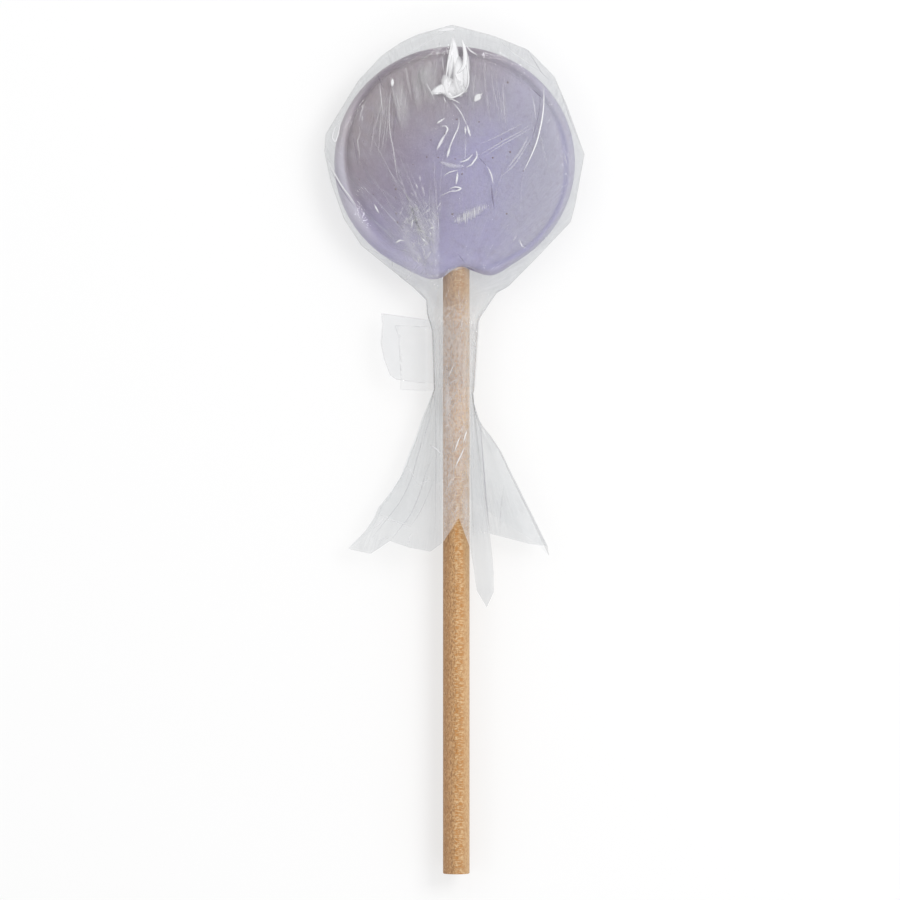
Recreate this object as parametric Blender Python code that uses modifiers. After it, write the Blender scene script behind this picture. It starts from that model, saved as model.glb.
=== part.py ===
"""A wrapped lollipop lying on its back: a pressed candy disc on a wooden dowel, in a sheet of clear
film that is gathered round the dowel, held there by clear tape, and hangs on as four pointed tails.

Everything is modelled about the centre of the disc, with the dowel along -Y and the shown face up.
The last step lifts the lollipop onto the ground and centres it. Dimensions are in millimetres.
"""

import math

import bmesh
import bpy
from mathutils import Vector

MM = 0.001
GAP = 0.25  # air left between neighbouring pieces

# Dowel
STICK_DIAMETER = 6.35
STICK_LENGTH = 167.0
STICK_TOP_Y = -2.8  # its buried end, just short of the middle of the disc
STICK_X = 0.4
STICK_CHAMFER = 0.35
STICK_SIDES = 40
STICK_RADIUS = STICK_DIAMETER / 2

# Candy disc, a little wider than it is long
CANDY_WIDTH = 57.4
CANDY_LENGTH = 55.2
CANDY_RADIUS = 28.2  # of the turned disc, before it is stretched to that width and length
FACE_HALF_THICKNESS = 5.5
DISC_STEPS = 72
# Turned outline, as radius and height above the middle plane
SHOWN_PROFILE = (  # crowned face, shoulder, groove and rounded rim
    (0.0, 5.5), (6.0, 5.5), (12.0, 5.5), (16.0, 5.42), (19.5, 5.15), (22.2, 4.72), (23.8, 4.2),
    (24.6, 3.6), (25.1, 3.25), (25.6, 3.3), (26.2, 3.65), (26.9, 3.7), (27.5, 3.3), (28.0, 2.3), (28.2, 1.1),
)
BACK_PROFILE = (  # rounded edge and flat back
    (28.2, -0.9), (28.05, -2.4), (27.5, -3.7), (26.6, -4.7), (25.4, -5.3), (24.0, -5.5), (16.0, -5.5),
    (8.0, -5.5), (0.0, -5.5),
)

# Pad of candy over the buried dowel: it stands a little proud of the shown face and fills the groove
PAD_HALF_WIDTH = 8.8
PAD_TOP_Y = 2.0
PAD_RISE = 0.4
PAD_TURN_Y = -11.0  # from here the pad falls towards the mouth
MOUTH_Y = -26.0
MOUTH_HALF_THICKNESS = 4.65
NOTCH_DEPTH = 2.3
NOTCH_X = 2.0
NOTCH_HALF_WIDTH = 4.6

# Film
FILM_WALL = 0.25
FILM_SEGMENTS = 56
SHOWN_FLAT_RADIUS = 12.0  # where the film, pulled over the disc, starts to round off
BACK_FLAT_RADIUS = 24.0  # of the flat spot that the lollipop rests on
FILM_TOP = (-0.6, 32.9)
# Outline of the wrapped head, from the top down to the neck: (x, y)
FILM_RIGHT = (
    (9.4, 30.2), (17.6, 26.9), (23.9, 20.5), (26.9, 13.6), (31.1, 1.9), (29.0, -9.7), (27.8, -14.3),
    (20.3, -22.1), (13.0, -29.4), (10.0, -31.0), (5.9, -37.0), (5.5, -38.5), (4.5, -54.4),
)
FILM_LEFT = (
    (-9.0, 30.5), (-13.0, 28.6), (-17.6, 25.4), (-23.1, 19.5), (-27.0, 13.1), (-30.8, 6.9), (-31.2, 2.6),
    (-29.7, -4.6), (-26.6, -13.4), (-22.4, -19.8), (-15.3, -25.5), (-9.9, -29.6), (-6.6, -32.8),
    (-6.4, -36.0), (-5.2, -40.0), (-4.7, -54.4),
)
FILM_STATIONS = (
    31.9, 30.3, 28.2, 25.4, 22.0, 18.0, 13.5, 8.0, 2.3, -4.0, -9.7, -14.3, -18.2, -22.1, -25.5,
    -28.2, -30.8, -33.2, -36.0, -38.6, -46.5, -54.4,
)
NECK_BLEND = (-26.5, -36.0)  # between these the bag's section turns into the neck's
NECK_HALF_HEIGHT = STICK_RADIUS + GAP + 0.3
PLEATS = 9
PLEAT_DEPTH = 0.22

# Edge of the tails, once round the dowel: (x, y, height above the dowel's axis, flare)
# A tail with a larger flare hugs the dowel longer before it spreads.
TAIL_HEM = (
    (22.5, -93.9, -2.0, 0.95), (22.2, -91.6, -1.0, 0.95), (17.9, -91.1, 0.5, 1.0), (8.4, -88.6, 2.3, 1.2),
    (9.2, -98.3, 3.6, 1.2), (9.2, -102.7, 4.3, 1.3), (7.6, -106.1, 4.8, 1.3), (5.2, -102.0, 4.9, 1.3),
    (3.7, -92.0, 4.8, 1.2), (1.0, -84.9, 4.3, 1.2), (-2.7, -90.6, 4.7, 1.3), (-5.7, -92.9, 4.5, 1.3),
    (-10.9, -91.9, 3.5, 1.35), (-15.6, -90.4, 2.2, 1.4), (-20.0, -93.5, 0.8, 1.4), (-25.7, -92.4, -0.8, 1.4),
    (-22.3, -89.6, -1.6, 1.35), (-18.9, -83.8, -2.6, 1.2), (-16.9, -84.6, -3.4, 1.2), (-12.9, -86.6, -4.0, 1.2),
    (-10.9, -86.9, -4.3, 1.2), (-8.6, -83.6, -4.6, 1.2), (-5.6, -77.5, -4.7, 1.2), (-2.3, -75.3, -4.7, 1.2),
    (3.7, -80.6, -4.7, 1.2), (10.9, -85.3, -4.4, 1.1), (18.8, -90.1, -3.3, 1.0),
)
TAIL_STEPS = 9

# Tape: a strip wound once round the neck, its two ends pressed together as a flag on the left
TAPE_WALL = 0.25
TAPE_WIDTH = 15.2
TAPE_OFFSET = 2.9  # how far the two ends miss each other along the dowel
TAPE_TOP_Y = -37.0
FLAG_PARTING = 0.1  # half the air between the two ends
FLAG_ROOT_X = -6.4
NECK_STEPS = 28
TAPE_ROWS = 4
# Left edge of each end: (x, distance down from the strip's top edge as a share of its width)
LONG_END = ((-17.5, 0.0), (-17.0, 0.17), (-17.7, 0.47), (-17.5, 0.60), (-15.4, 0.95), (-14.6, 1.0))
SHORT_END = ((-14.3, 0.0), (-13.3, 0.2), (-12.8, 0.85), (-12.9, 1.0))

# Colours: (red, green, blue), roughness
LOLLIPOP_COLOURS = {
    "candy": ((0.38, 0.36, 0.50), 0.25),
    "stick": ((0.66, 0.44, 0.23), 0.60),
    "film": ((0.78, 0.80, 0.82), 0.12),
    "tape": ((0.82, 0.82, 0.84), 0.20),
}


# ---------------------------------------------------------------- helpers
def smooth_step(low, high, value):
    """0 below low, 1 above high, with an even turn between them."""
    share = min(max((value - low) / (high - low), 0.0), 1.0)
    return share * share * (3 - 2 * share)


def mix(a, b, share):
    return a + (b - a) * share


def along(points, value):
    """Value of a broken line given as (value, key) points whose keys only fall."""
    for (x0, y0), (x1, y1) in zip(points, points[1:]):
        if value >= y1:
            return mix(x0, x1, (y0 - value) / (y0 - y1))
    return points[-1][0]


def clear_scene():
    for item in list(bpy.data.objects):
        bpy.data.objects.remove(item)


def new_collection(name):
    made = bpy.data.collections.new(name)
    bpy.context.scene.collection.children.link(made)
    return made


def material(name):
    colour, roughness = LOLLIPOP_COLOURS[name]
    made = bpy.data.materials.new(name)
    made.use_nodes = True
    shader = made.node_tree.nodes["Principled BSDF"]
    shader.inputs["Base Color"].default_value = (*colour, 1.0)
    shader.inputs["Roughness"].default_value = roughness
    shader.inputs["Metallic"].default_value = 0.0
    return made


def add_object(name, mesh, collection):
    made = bpy.data.objects.new(name, mesh)
    collection.objects.link(made)
    return made


def dress(obj, sharp_degrees=40):
    obj.data.materials.clear()
    obj.data.materials.append(material(obj.name))
    obj.data.shade_smooth()
    obj.data.set_sharp_from_angle(angle=math.radians(sharp_degrees))


def evaluated_mesh(obj):
    """The object's mesh with its modifiers applied, as a mesh of its own."""
    graph = bpy.context.evaluated_depsgraph_get()
    return bpy.data.meshes.new_from_object(obj.evaluated_get(graph), depsgraph=graph)


def loft(name, rings, collection, cap_point=None, closed=True):
    """A surface through rings of equally many points. cap_point closes the first ring with a fan."""
    sheet = bmesh.new()
    rows = [[sheet.verts.new(Vector(point) * MM) for point in ring] for ring in rings]
    count = len(rows[0])
    steps = range(count if closed else count - 1)
    for upper, lower in zip(rows, rows[1:]):
        for i in steps:
            j = (i + 1) % count
            sheet.faces.new((upper[i], upper[j], lower[j], lower[i]))
    if cap_point is not None:
        tip = sheet.verts.new(Vector(cap_point) * MM)
        for i in steps:
            sheet.faces.new((tip, rows[0][(i + 1) % count], rows[0][i]))
    mesh = bpy.data.meshes.new(name)
    sheet.to_mesh(mesh)
    sheet.free()
    return add_object(name, mesh, collection)


def thicken(obj, wall):
    """Gives an open surface a wall that grows outwards from it."""
    solidify = obj.modifiers.new("wall", "SOLIDIFY")
    solidify.thickness = wall * MM
    solidify.offset = 1.0
    solidify.use_rim = True


# ---------------------------------------------------------------- candy
def pad_height(x, y):
    """Height of the pad over the buried dowel, without the rise of the shown face."""
    fall = smooth_step(-PAD_TURN_Y, -MOUTH_Y + 1.0, -y)
    crown = 1 - 0.1 * ((x - STICK_X) / PAD_HALF_WIDTH) ** 2
    return mix(FACE_HALF_THICKNESS, MOUTH_HALF_THICKNESS, fall) * crown


def pad_share(x, y):
    """1 on the pad and 0 off it, with a narrow turn at its edge."""
    middle = (PAD_TOP_Y + MOUTH_Y - 4.0) / 2
    half_length = PAD_TOP_Y - middle
    across = abs(x - STICK_X) / PAD_HALF_WIDTH
    down = abs(y - middle) / half_length
    return 1 - smooth_step(0.82, 1.06, (across**4 + down**4) ** 0.25)


def shape_candy(point):
    """Moves one point of the turned disc, in mm, to where it is on the pressed candy."""
    x, y, z = point
    radius = math.hypot(x, y)
    notch = math.exp(-(((x - NOTCH_X) / NOTCH_HALF_WIDTH) ** 2)) if y < 0 else 0.0
    pull = 1 - notch * NOTCH_DEPTH / CANDY_RADIUS * smooth_step(17.0, 26.0, radius)
    share = pad_share(x, y)
    if share > 0 and radius < 27.3:
        lift = pad_height(x, y) + (PAD_RISE * (1 - smooth_step(9.0, 22.0, -y)) if z > 0 else 0.0)
        z = math.copysign(mix(abs(z), max(lift, abs(z)), share), z)
    elif share > 0:
        edge = smooth_step(CANDY_RADIUS + 0.05, 27.3, radius) if radius < CANDY_RADIUS else 0.0
        z = mix(z, math.copysign(max(abs(z), mix(1.6, 4.2, edge)), z), share)
    stretch_x = CANDY_WIDTH / (2 * CANDY_RADIUS)
    stretch_y = CANDY_LENGTH / (2 * CANDY_RADIUS)
    return Vector((x * pull * stretch_x, y * pull * stretch_y, z))


def turned_disc(collection):
    """The candy as a round, symmetric disc: its outline turned about the middle."""
    outline = SHOWN_PROFILE + BACK_PROFILE
    mesh = bpy.data.meshes.new("disc_outline")
    edges = [(i, i + 1) for i in range(len(outline) - 1)]
    mesh.from_pydata([(r * MM, 0.0, z * MM) for r, z in outline], edges, [])
    disc = add_object("disc", mesh, collection)
    screw = disc.modifiers.new("turn", "SCREW")
    screw.axis = "Z"
    screw.steps = screw.render_steps = DISC_STEPS
    screw.use_merge_vertices = True
    screw.merge_threshold = 0.00001
    return disc


def build_candy(collection, cutters):
    disc = turned_disc(collection)
    mesh = evaluated_mesh(disc)
    bpy.data.objects.remove(disc)
    for vertex in mesh.vertices:
        vertex.co = shape_candy(vertex.co / MM) * MM
    candy = add_object("candy", mesh, collection)

    depth = STICK_LENGTH / 2
    bpy.ops.mesh.primitive_cylinder_add(
        vertices=STICK_SIDES,
        radius=(STICK_RADIUS + GAP) * MM,
        depth=depth * MM,
        location=(STICK_X * MM, (STICK_TOP_Y + GAP - depth / 2) * MM, 0.0),
        rotation=(math.radians(90), 0.0, 0.0),
    )
    bore = bpy.context.object
    bore.name = "stick_bore"
    bore.hide_render = True
    bore.display_type = "WIRE"
    for holder in list(bore.users_collection):
        holder.objects.unlink(bore)
    cutters.objects.link(bore)
    cut = candy.modifiers.new("stick_bore", "BOOLEAN")
    cut.operation = "DIFFERENCE"
    cut.object = bore
    dress(candy)
    return candy


# ---------------------------------------------------------------- dowel
def build_stick(collection):
    bpy.ops.mesh.primitive_cylinder_add(
        vertices=STICK_SIDES,
        radius=STICK_RADIUS * MM,
        depth=STICK_LENGTH * MM,
        location=(STICK_X * MM, (STICK_TOP_Y - STICK_LENGTH / 2) * MM, 0.0),
        rotation=(math.radians(90), 0.0, 0.0),
    )
    stick = bpy.context.object
    stick.name = "stick"
    for holder in list(stick.users_collection):
        holder.objects.unlink(stick)
    collection.objects.link(stick)
    chamfer = stick.modifiers.new("chamfer", "BEVEL")
    chamfer.width = STICK_CHAMFER * MM
    chamfer.segments = 2
    chamfer.limit_method = "ANGLE"
    chamfer.angle_limit = math.radians(60)
    dress(stick)
    return stick


# ---------------------------------------------------------------- film
def outline_x(side, y):
    """Where the inside of the film's outline lies at y, on one side."""
    points = ((FILM_TOP[0], FILM_TOP[1]), *side)
    return along(points, y) - math.copysign(FILM_WALL, points[4][0])


def outline_radius(x, y):
    """How far the inside of the outline is from the disc's centre, in the direction of (x, y)."""
    low, high = 0.0, 3.0
    for _ in range(40):
        reach = (low + high) / 2
        px, py = x * reach * 30 / math.hypot(x, y), y * reach * 30 / math.hypot(x, y)
        inside = FILM_LEFT[-1][1] < py < FILM_TOP[1] - FILM_WALL
        inside = inside and outline_x(FILM_LEFT, py) < px < outline_x(FILM_RIGHT, py)
        low, high = (reach, high) if inside else (low, reach)
    return low * 30


def film_height(x, y, shown):
    """Height of the inside of the film above the middle plane of the head."""
    radius = math.hypot(x, y)
    height = FACE_HALF_THICKNESS + GAP + (PAD_RISE * 1.1 if shown else 0.0)
    start = SHOWN_FLAT_RADIUS if shown else BACK_FLAT_RADIUS
    if radius <= start:
        return height
    reach = outline_radius(x, y)
    roundness = max(2.0, 2.2 + (33.0 - reach) * 0.22)
    share = min((radius - start) / (reach - start), 1.0)
    return height * (1 - share**roundness) ** (1 / roundness)


def hem_points():
    """Edge of the tails at equal steps, as (x, y, z, flare), starting on the right."""
    corners = list(TAIL_HEM) + [TAIL_HEM[0]]
    lengths = [math.dist(a[:3], b[:3]) for a, b in zip(corners, corners[1:])]
    total = sum(lengths)
    points = []
    for i in range(FILM_SEGMENTS):
        left = total * i / FILM_SEGMENTS
        k = 0
        while left > lengths[k]:
            left -= lengths[k]
            k += 1
        share = left / lengths[k]
        points.append(tuple(mix(a, b, share) for a, b in zip(corners[k], corners[k + 1])))
    return points


def hem_angles(hem):
    """The angle of each point of the hem round the dowel, rising once round."""
    angles = []
    for x, _, z, _ in hem:
        angle = math.atan2(z, x - STICK_X)
        while angles and angle < angles[-1] - math.pi:
            angle += 2 * math.pi
        angles.append(angle)
    return angles


def head_ring(y, angles):
    """Section of the film at y, across the dowel: the bag round the disc, or the pleated neck."""
    left, right = outline_x(FILM_LEFT, y), outline_x(FILM_RIGHT, y)
    middle, half = (left + right) / 2, (right - left) / 2
    neck = smooth_step(-NECK_BLEND[0], -NECK_BLEND[1], -y)
    ring = []
    for i, angle in enumerate(angles):
        even = angles[0] + 2 * math.pi * i / len(angles)
        turn = mix(mix(even, angle, 0.35), angle, neck)
        x = middle + half * math.cos(turn)
        sign = math.copysign(1.0, math.sin(turn))
        bag = sign * film_height(x, y, sign > 0)
        pleat = PLEAT_DEPTH * (1 + math.cos(PLEATS * turn)) / 2
        sleeve = (NECK_HALF_HEIGHT + pleat) * math.sin(turn)
        ring.append((x, y, mix(bag, sleeve, neck)))
    return ring


def build_film(collection):
    hem = hem_points()
    angles = hem_angles(hem)
    rings = [head_ring(y, angles) for y in FILM_STATIONS]
    neck = rings[-1]
    for step in range(1, TAIL_STEPS + 1):
        share = step / TAIL_STEPS
        ring = []
        for (nx, ny, nz), (hx, hy, hz, flare) in zip(neck, hem):
            spread = share**flare
            ring.append((mix(nx, hx, spread), mix(ny, hy, share), mix(nz, hz, spread)))
        rings.append(ring)
    tip = (FILM_TOP[0], FILM_TOP[1] - FILM_WALL, 0.0)
    film = loft("film", rings, collection, cap_point=tip)
    thicken(film, FILM_WALL)
    dress(film)
    return film


# ---------------------------------------------------------------- tape
def tape_path():
    """The strip's route round the neck, seen along the dowel: (x, z) from the long end to the short."""
    return_angle = math.radians(24)
    path = [(share, FLAG_PARTING) for share in (0.0, 0.33, 0.66, 1.0)]
    steps = [mix(math.pi - return_angle, return_angle - math.pi, i / NECK_STEPS) for i in range(NECK_STEPS + 1)]
    path += [("neck", angle) for angle in steps]
    path += [(share, -FLAG_PARTING) for share in (1.0, 0.66, 0.33, 0.0)]
    return path


def sleeve_point(angle, y):
    """A point on the inside of the tape where it lies round the gathered film."""
    clear = 2 * FILM_WALL + GAP
    left, right = outline_x(FILM_LEFT, y) - clear, outline_x(FILM_RIGHT, y) + clear
    height = NECK_HALF_HEIGHT + PLEAT_DEPTH + FILM_WALL + GAP
    return (left + right) / 2 + (right - left) / 2 * math.cos(angle), height * math.sin(angle)


def build_tape(collection):
    columns = []
    path = tape_path()
    for i, (place, value) in enumerate(path):
        drop = TAPE_OFFSET * i / (len(path) - 1)
        end = LONG_END if i < len(path) / 2 else SHORT_END
        column = []
        for row in range(TAPE_ROWS + 1):
            down = row / TAPE_ROWS
            y = TAPE_TOP_Y - drop - down * TAPE_WIDTH
            if place == "neck":
                x, z = sleeve_point(value, y)
            else:
                tip_x = along([(x, -share) for x, share in end], -down)
                x, z = mix(tip_x, FLAG_ROOT_X, place), value
            column.append((x, y, z))
        columns.append(column)
    tape = loft("tape", columns, collection, closed=False)
    thicken(tape, TAPE_WALL)
    dress(tape)
    return tape


# ---------------------------------------------------------------- whole
def set_down(parts):
    """Lifts the lollipop onto the ground and centres it over the origin."""
    bpy.context.view_layer.update()
    graph = bpy.context.evaluated_depsgraph_get()
    corners = []
    for part in parts:
        shape = part.evaluated_get(graph)
        corners += [shape.matrix_world @ vertex.co for vertex in shape.data.vertices]
    low = Vector([min(corner[i] for corner in corners) for i in range(3)])
    high = Vector([max(corner[i] for corner in corners) for i in range(3)])
    home = bpy.data.objects.new("lollipop_origin", None)
    bpy.context.scene.collection.objects.link(home)
    for part in parts:
        part.parent = home
    home.location = (-(low.x + high.x) / 2, -(low.y + high.y) / 2, -low.z)


def main():
    clear_scene()
    lollipop = new_collection("lollipop")
    cutters = new_collection("cutters")
    cutters.hide_render = True
    candy = build_candy(lollipop, cutters)
    parts = [candy, build_stick(lollipop), build_film(lollipop), build_tape(lollipop)]
    set_down(parts)
    for cutter in cutters.objects:
        cutter.parent = candy.parent


main()
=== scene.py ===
# %% [markdown]
# # A wrapped lollipop
# The lollipop is a pressed disc of hard candy on a wooden dowel. A square of clear film is pulled over
# the disc and gathered round the dowel, and a strip of clear tape holds it there. It lies on its back.
#
# The solid model gives the place and size of every piece. This notebook gives each piece its surface:
# the wrinkles of the film, the cloudy candy, the grain of the wood and the light that shows them.

# %% Load the solid model
import math
import random

import bpy
import numpy as np
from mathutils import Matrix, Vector


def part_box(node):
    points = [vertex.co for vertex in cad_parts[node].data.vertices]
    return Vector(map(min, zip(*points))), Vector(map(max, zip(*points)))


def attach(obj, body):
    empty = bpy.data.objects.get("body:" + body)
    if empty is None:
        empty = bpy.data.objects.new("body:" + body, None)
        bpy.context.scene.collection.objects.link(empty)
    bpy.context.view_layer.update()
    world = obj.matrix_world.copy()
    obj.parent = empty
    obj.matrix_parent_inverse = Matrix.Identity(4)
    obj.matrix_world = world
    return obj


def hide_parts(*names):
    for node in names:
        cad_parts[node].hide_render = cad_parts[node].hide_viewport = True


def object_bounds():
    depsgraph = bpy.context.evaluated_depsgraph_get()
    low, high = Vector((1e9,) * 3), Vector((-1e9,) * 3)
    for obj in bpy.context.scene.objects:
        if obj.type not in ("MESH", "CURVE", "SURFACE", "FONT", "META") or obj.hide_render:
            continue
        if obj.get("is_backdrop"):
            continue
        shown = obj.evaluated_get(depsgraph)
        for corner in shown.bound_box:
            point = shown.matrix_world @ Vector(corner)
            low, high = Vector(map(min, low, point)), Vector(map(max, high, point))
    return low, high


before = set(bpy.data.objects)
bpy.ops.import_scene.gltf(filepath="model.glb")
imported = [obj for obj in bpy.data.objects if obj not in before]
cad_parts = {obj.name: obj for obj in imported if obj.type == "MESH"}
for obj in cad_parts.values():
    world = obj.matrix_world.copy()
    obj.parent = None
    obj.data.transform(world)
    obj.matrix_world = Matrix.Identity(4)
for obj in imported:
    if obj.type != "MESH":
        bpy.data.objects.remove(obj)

cad_low, cad_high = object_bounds()
print("pieces:", ", ".join(sorted(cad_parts)))

# %% [markdown]
# ## Where things are
# Shapes are worked out in millimetres about the middle of the candy disc, with x to the right, y towards
# the top of the head and z out of the shown face. The boxes of the solid pieces give that middle.
# A place can also be given as a pixel of a 900 by 900 picture taken from straight above. The dowel's
# width sets the scale of such a picture.

# %% Units, middle and picture scale
MM = 0.001
PICTURE = 900
STICK_PIXELS = 26.6  # the dowel's width in the picture
MIDDLE_PIXEL = (454.6, 162.3)  # the middle of the disc in the picture
FACE_HALF_THICKNESS = 5.5
CANDY_WIDTH = 57.4
CANDY_LENGTH = 55.2

candy_low, candy_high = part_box("candy")
stick_low, stick_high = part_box("stick")
MIDDLE = Vector((
    (candy_low[0] + candy_high[0]) / 2,
    candy_high[1] - CANDY_LENGTH / 2 * MM,
    candy_low[2] + FACE_HALF_THICKNESS * MM,
))
STICK_DIAMETER = (stick_high[0] - stick_low[0]) / MM
STICK_RADIUS = STICK_DIAMETER / 2
STICK_X = ((stick_low[0] + stick_high[0]) / 2 - MIDDLE.x) / MM
STICK_TOP_Y = (stick_high[1] - MIDDLE.y) / MM
STICK_END_Y = (stick_low[1] - MIDDLE.y) / MM
PIXEL = STICK_DIAMETER / STICK_PIXELS
print(f"one pixel is {PIXEL:.4f} mm, the dowel is {STICK_DIAMETER:.2f} mm thick")


def seen(px, py):
    """The place in mm that a pixel of the picture shows."""
    return (px - MIDDLE_PIXEL[0]) * PIXEL, (MIDDLE_PIXEL[1] - py) * PIXEL


def placed(x, y, z):
    """A place in mm, as a point of the model in metres."""
    return MIDDLE + Vector((x, y, z)) * MM


def smooth_step(low, high, value):
    share = np.clip((np.asarray(value, float) - low) / (high - low), 0.0, 1.0)
    return share * share * (3 - 2 * share)


def mix(a, b, share):
    return a + (b - a) * share


# %% [markdown]
# ## Camera
# The picture looks straight down on the lollipop, from far away with a long lens, so that the dowel's
# sides stay parallel.

# %% Camera
CAMERA_DISTANCE = 1.6
CAMERA_CLIP = (0.01, 20.0)
SENSOR = 36.0


def add_object(name, data):
    made = bpy.data.objects.new(name, data)
    bpy.context.scene.collection.objects.link(made)
    return made


camera = add_object("camera", bpy.data.cameras.new("camera"))
camera.data.sensor_width = SENSOR
camera.data.lens = SENSOR * CAMERA_DISTANCE / (PICTURE * PIXEL * MM)
camera.data.clip_start, camera.data.clip_end = CAMERA_CLIP
camera.location = placed(*seen(PICTURE / 2, PICTURE / 2), 0.0) + Vector((0.0, 0.0, CAMERA_DISTANCE))
bpy.context.scene.camera = camera
print(f"camera lens {camera.data.lens:.0f} mm")

# %% [markdown]
# ## Trees of nodes as sums
# A material, the room and a Geometry Nodes group are trees of nodes. Wiring one by hand hides the sum that
# it works out, so a small class wraps a socket and turns +, -, *, / and ** into Math nodes. Every other
# node comes from one method: its type, its settings, then the values or links of its sockets.


# %% A socket that can be used in a sum
class Value:
    """One output socket, used in sums as if it were a number."""

    def __init__(self, tree, socket):
        self.tree = tree
        self.socket = socket

    def beside(self, name):
        """Another output of the same node."""
        return Value(self.tree, self.socket.node.outputs[name])

    def math(self, operation, *others):
        return self.tree.math(operation, self, *others)

    def __add__(self, other):
        return self.math("ADD", other)

    def __sub__(self, other):
        return self.math("SUBTRACT", other)

    def __rsub__(self, other):
        return self.tree.math("SUBTRACT", other, self)

    def __mul__(self, other):
        return self.math("MULTIPLY", other)

    def __truediv__(self, other):
        return self.math("DIVIDE", other)

    def __pow__(self, other):
        return self.math("POWER", other)

    def __abs__(self):
        return self.math("ABSOLUTE")


class Tree:
    """A tree of nodes, emptied first."""

    def __init__(self, node_tree):
        self.nodes = node_tree.nodes
        self.links = node_tree.links
        self.nodes.clear()

    def node(self, kind, settings=None, inputs=None, output=0):
        """Adds a node: its settings come first, then the values or links of its sockets."""
        made = self.nodes.new(kind)
        for key, setting in (settings or {}).items():
            setattr(made, key, setting)
        for key, value in (inputs or {}).items():
            socket = made.inputs[key]
            if isinstance(value, Value):
                self.links.new(value.socket, socket)
            elif socket.type == "RGBA":
                socket.default_value = (*value, 1.0)
            else:
                socket.default_value = value
        return Value(self, made.outputs[output]) if made.outputs else None

    def math(self, operation, *values):
        return self.node("ShaderNodeMath", {"operation": operation}, dict(enumerate(values)))

    def vector_math(self, operation, *values):
        return self.node("ShaderNodeVectorMath", {"operation": operation}, dict(enumerate(values)))

    def scaled(self, vector, scale):
        return self.node("ShaderNodeVectorMath", {"operation": "SCALE"}, {0: vector, "Scale": scale})

    def axes(self, vector):
        split = self.node("ShaderNodeSeparateXYZ", inputs={0: vector})
        return [split.beside(name) for name in "XYZ"]

    def from_axes(self, x, y, z):
        return self.node("ShaderNodeCombineXYZ", inputs={0: x, 1: y, 2: z})


class MaterialTree(Tree):
    """The tree of a new material."""

    def __init__(self, name):
        self.material = bpy.data.materials.new(name)
        self.material.use_nodes = True
        super().__init__(self.material.node_tree)

    def step(self, value, low, high):
        """0 below low and 1 above high, or the other way round if low is the larger."""
        inputs = {"Value": value, "From Min": low, "From Max": high}
        return self.node("ShaderNodeMapRange", {"interpolation_type": "SMOOTHSTEP"}, inputs)

    def coats(self, colour, *coats):
        """A colour under coats of other colours, each with the share of it that covers."""
        for share, coat in coats:
            inputs = {0: share, 6: colour, 7: coat}
            colour = self.node("ShaderNodeMix", {"data_type": "RGBA"}, inputs, output=2)
        return colour

    def place(self, scale=(1.0, 1.0, 1.0)):
        """Object coordinates in mm about the middle of the disc, stretched by scale."""
        centred = self.vector_math("SUBTRACT", self.node("ShaderNodeTexCoord", output="Object"), MIDDLE)
        return self.vector_math("MULTIPLY", centred, Vector(scale) / MM)

    def number(self, name):
        """A number that the points of the mesh carry."""
        return self.node("ShaderNodeAttribute", {"attribute_name": name}, output="Fac")

    def noise(self, vector, scale=1.0, detail=2.0, roughness=0.5):
        inputs = {"Vector": vector, "Scale": scale, "Detail": detail, "Roughness": roughness}
        return self.node("ShaderNodeTexNoise", inputs=inputs, output="Fac")

    def spread(self, vector, sideways, scale):
        """A vector pushed about by noise, to break up straight lines."""
        cloud = self.node("ShaderNodeTexNoise", inputs={"Vector": vector, "Scale": scale}, output="Color")
        return self.vector_math("ADD", vector, self.scaled(cloud, sideways))

    def bump(self, height, distance, strength=1.0):
        inputs = {"Height": height, "Distance": distance * MM, "Strength": strength}
        return self.node("ShaderNodeBump", inputs=inputs, output="Normal")

    def principled(self, **sockets):
        inputs = {name.replace("_", " "): value for name, value in sockets.items()}
        return self.node("ShaderNodeBsdfPrincipled", inputs=inputs)

    def finish(self, shader):
        self.node("ShaderNodeOutputMaterial", inputs={"Surface": shader})
        return self.material


print("trees of nodes ready")

# %% [markdown]
# ## Light and floor
# A clear film shows only by what it mirrors, so the room is not even: it is darker overhead, where the
# flat film looks, and brighter all round at half height, where the sides of the creases look. A soft box
# lights the right of the dowel and is kept out of every mirror, and a ring of narrow lamps gives each
# crease something sharp to mirror.
# The floor is a light table: it glows a little itself, so the shadows on it stay pale.

# %% Room
FLOOR_SIZE = 6.0
FLOOR_COLOUR = (0.34, 0.34, 0.34)
FLOOR_GLOW = 0.565
# height of the direction (1 is overhead, 0 the horizon) and brightness of the room there
ROOM = ((0.0, 0.66), (0.25, 0.86), (0.55, 1.16), (0.80, 0.96), (0.95, 0.48), (1.0, 0.34))
ROOM_LEAN = 0.06
# direction, distance and size in m, power in W
SOFT_BOX = ((0.62, 0.26, 0.92), 0.80, (0.34, 0.34), 2.6)
# turn round the lollipop from the right, height in degrees, power in W
LAMPS = ((8, 50, 0.13), (62, 47, 0.34), (100, 52, 0.20), (150, 48, 0.16), (205, 50, 0.18), (290, 46, 0.20))
LAMP_SIZE = (0.028, 0.16)
LAMP_DISTANCE = 0.80


def add_lamp(name, direction, distance, size, power):
    data = bpy.data.lights.new(name, "AREA")
    data.shape = "RECTANGLE"
    data.size, data.size_y = size
    data.energy = power
    lamp = add_object(name, data)
    towards = Vector(direction).normalized()
    lamp.location = MIDDLE + towards * distance
    lamp.rotation_euler = (-towards).to_track_quat("-Z", "Y").to_euler()
    return lamp


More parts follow.
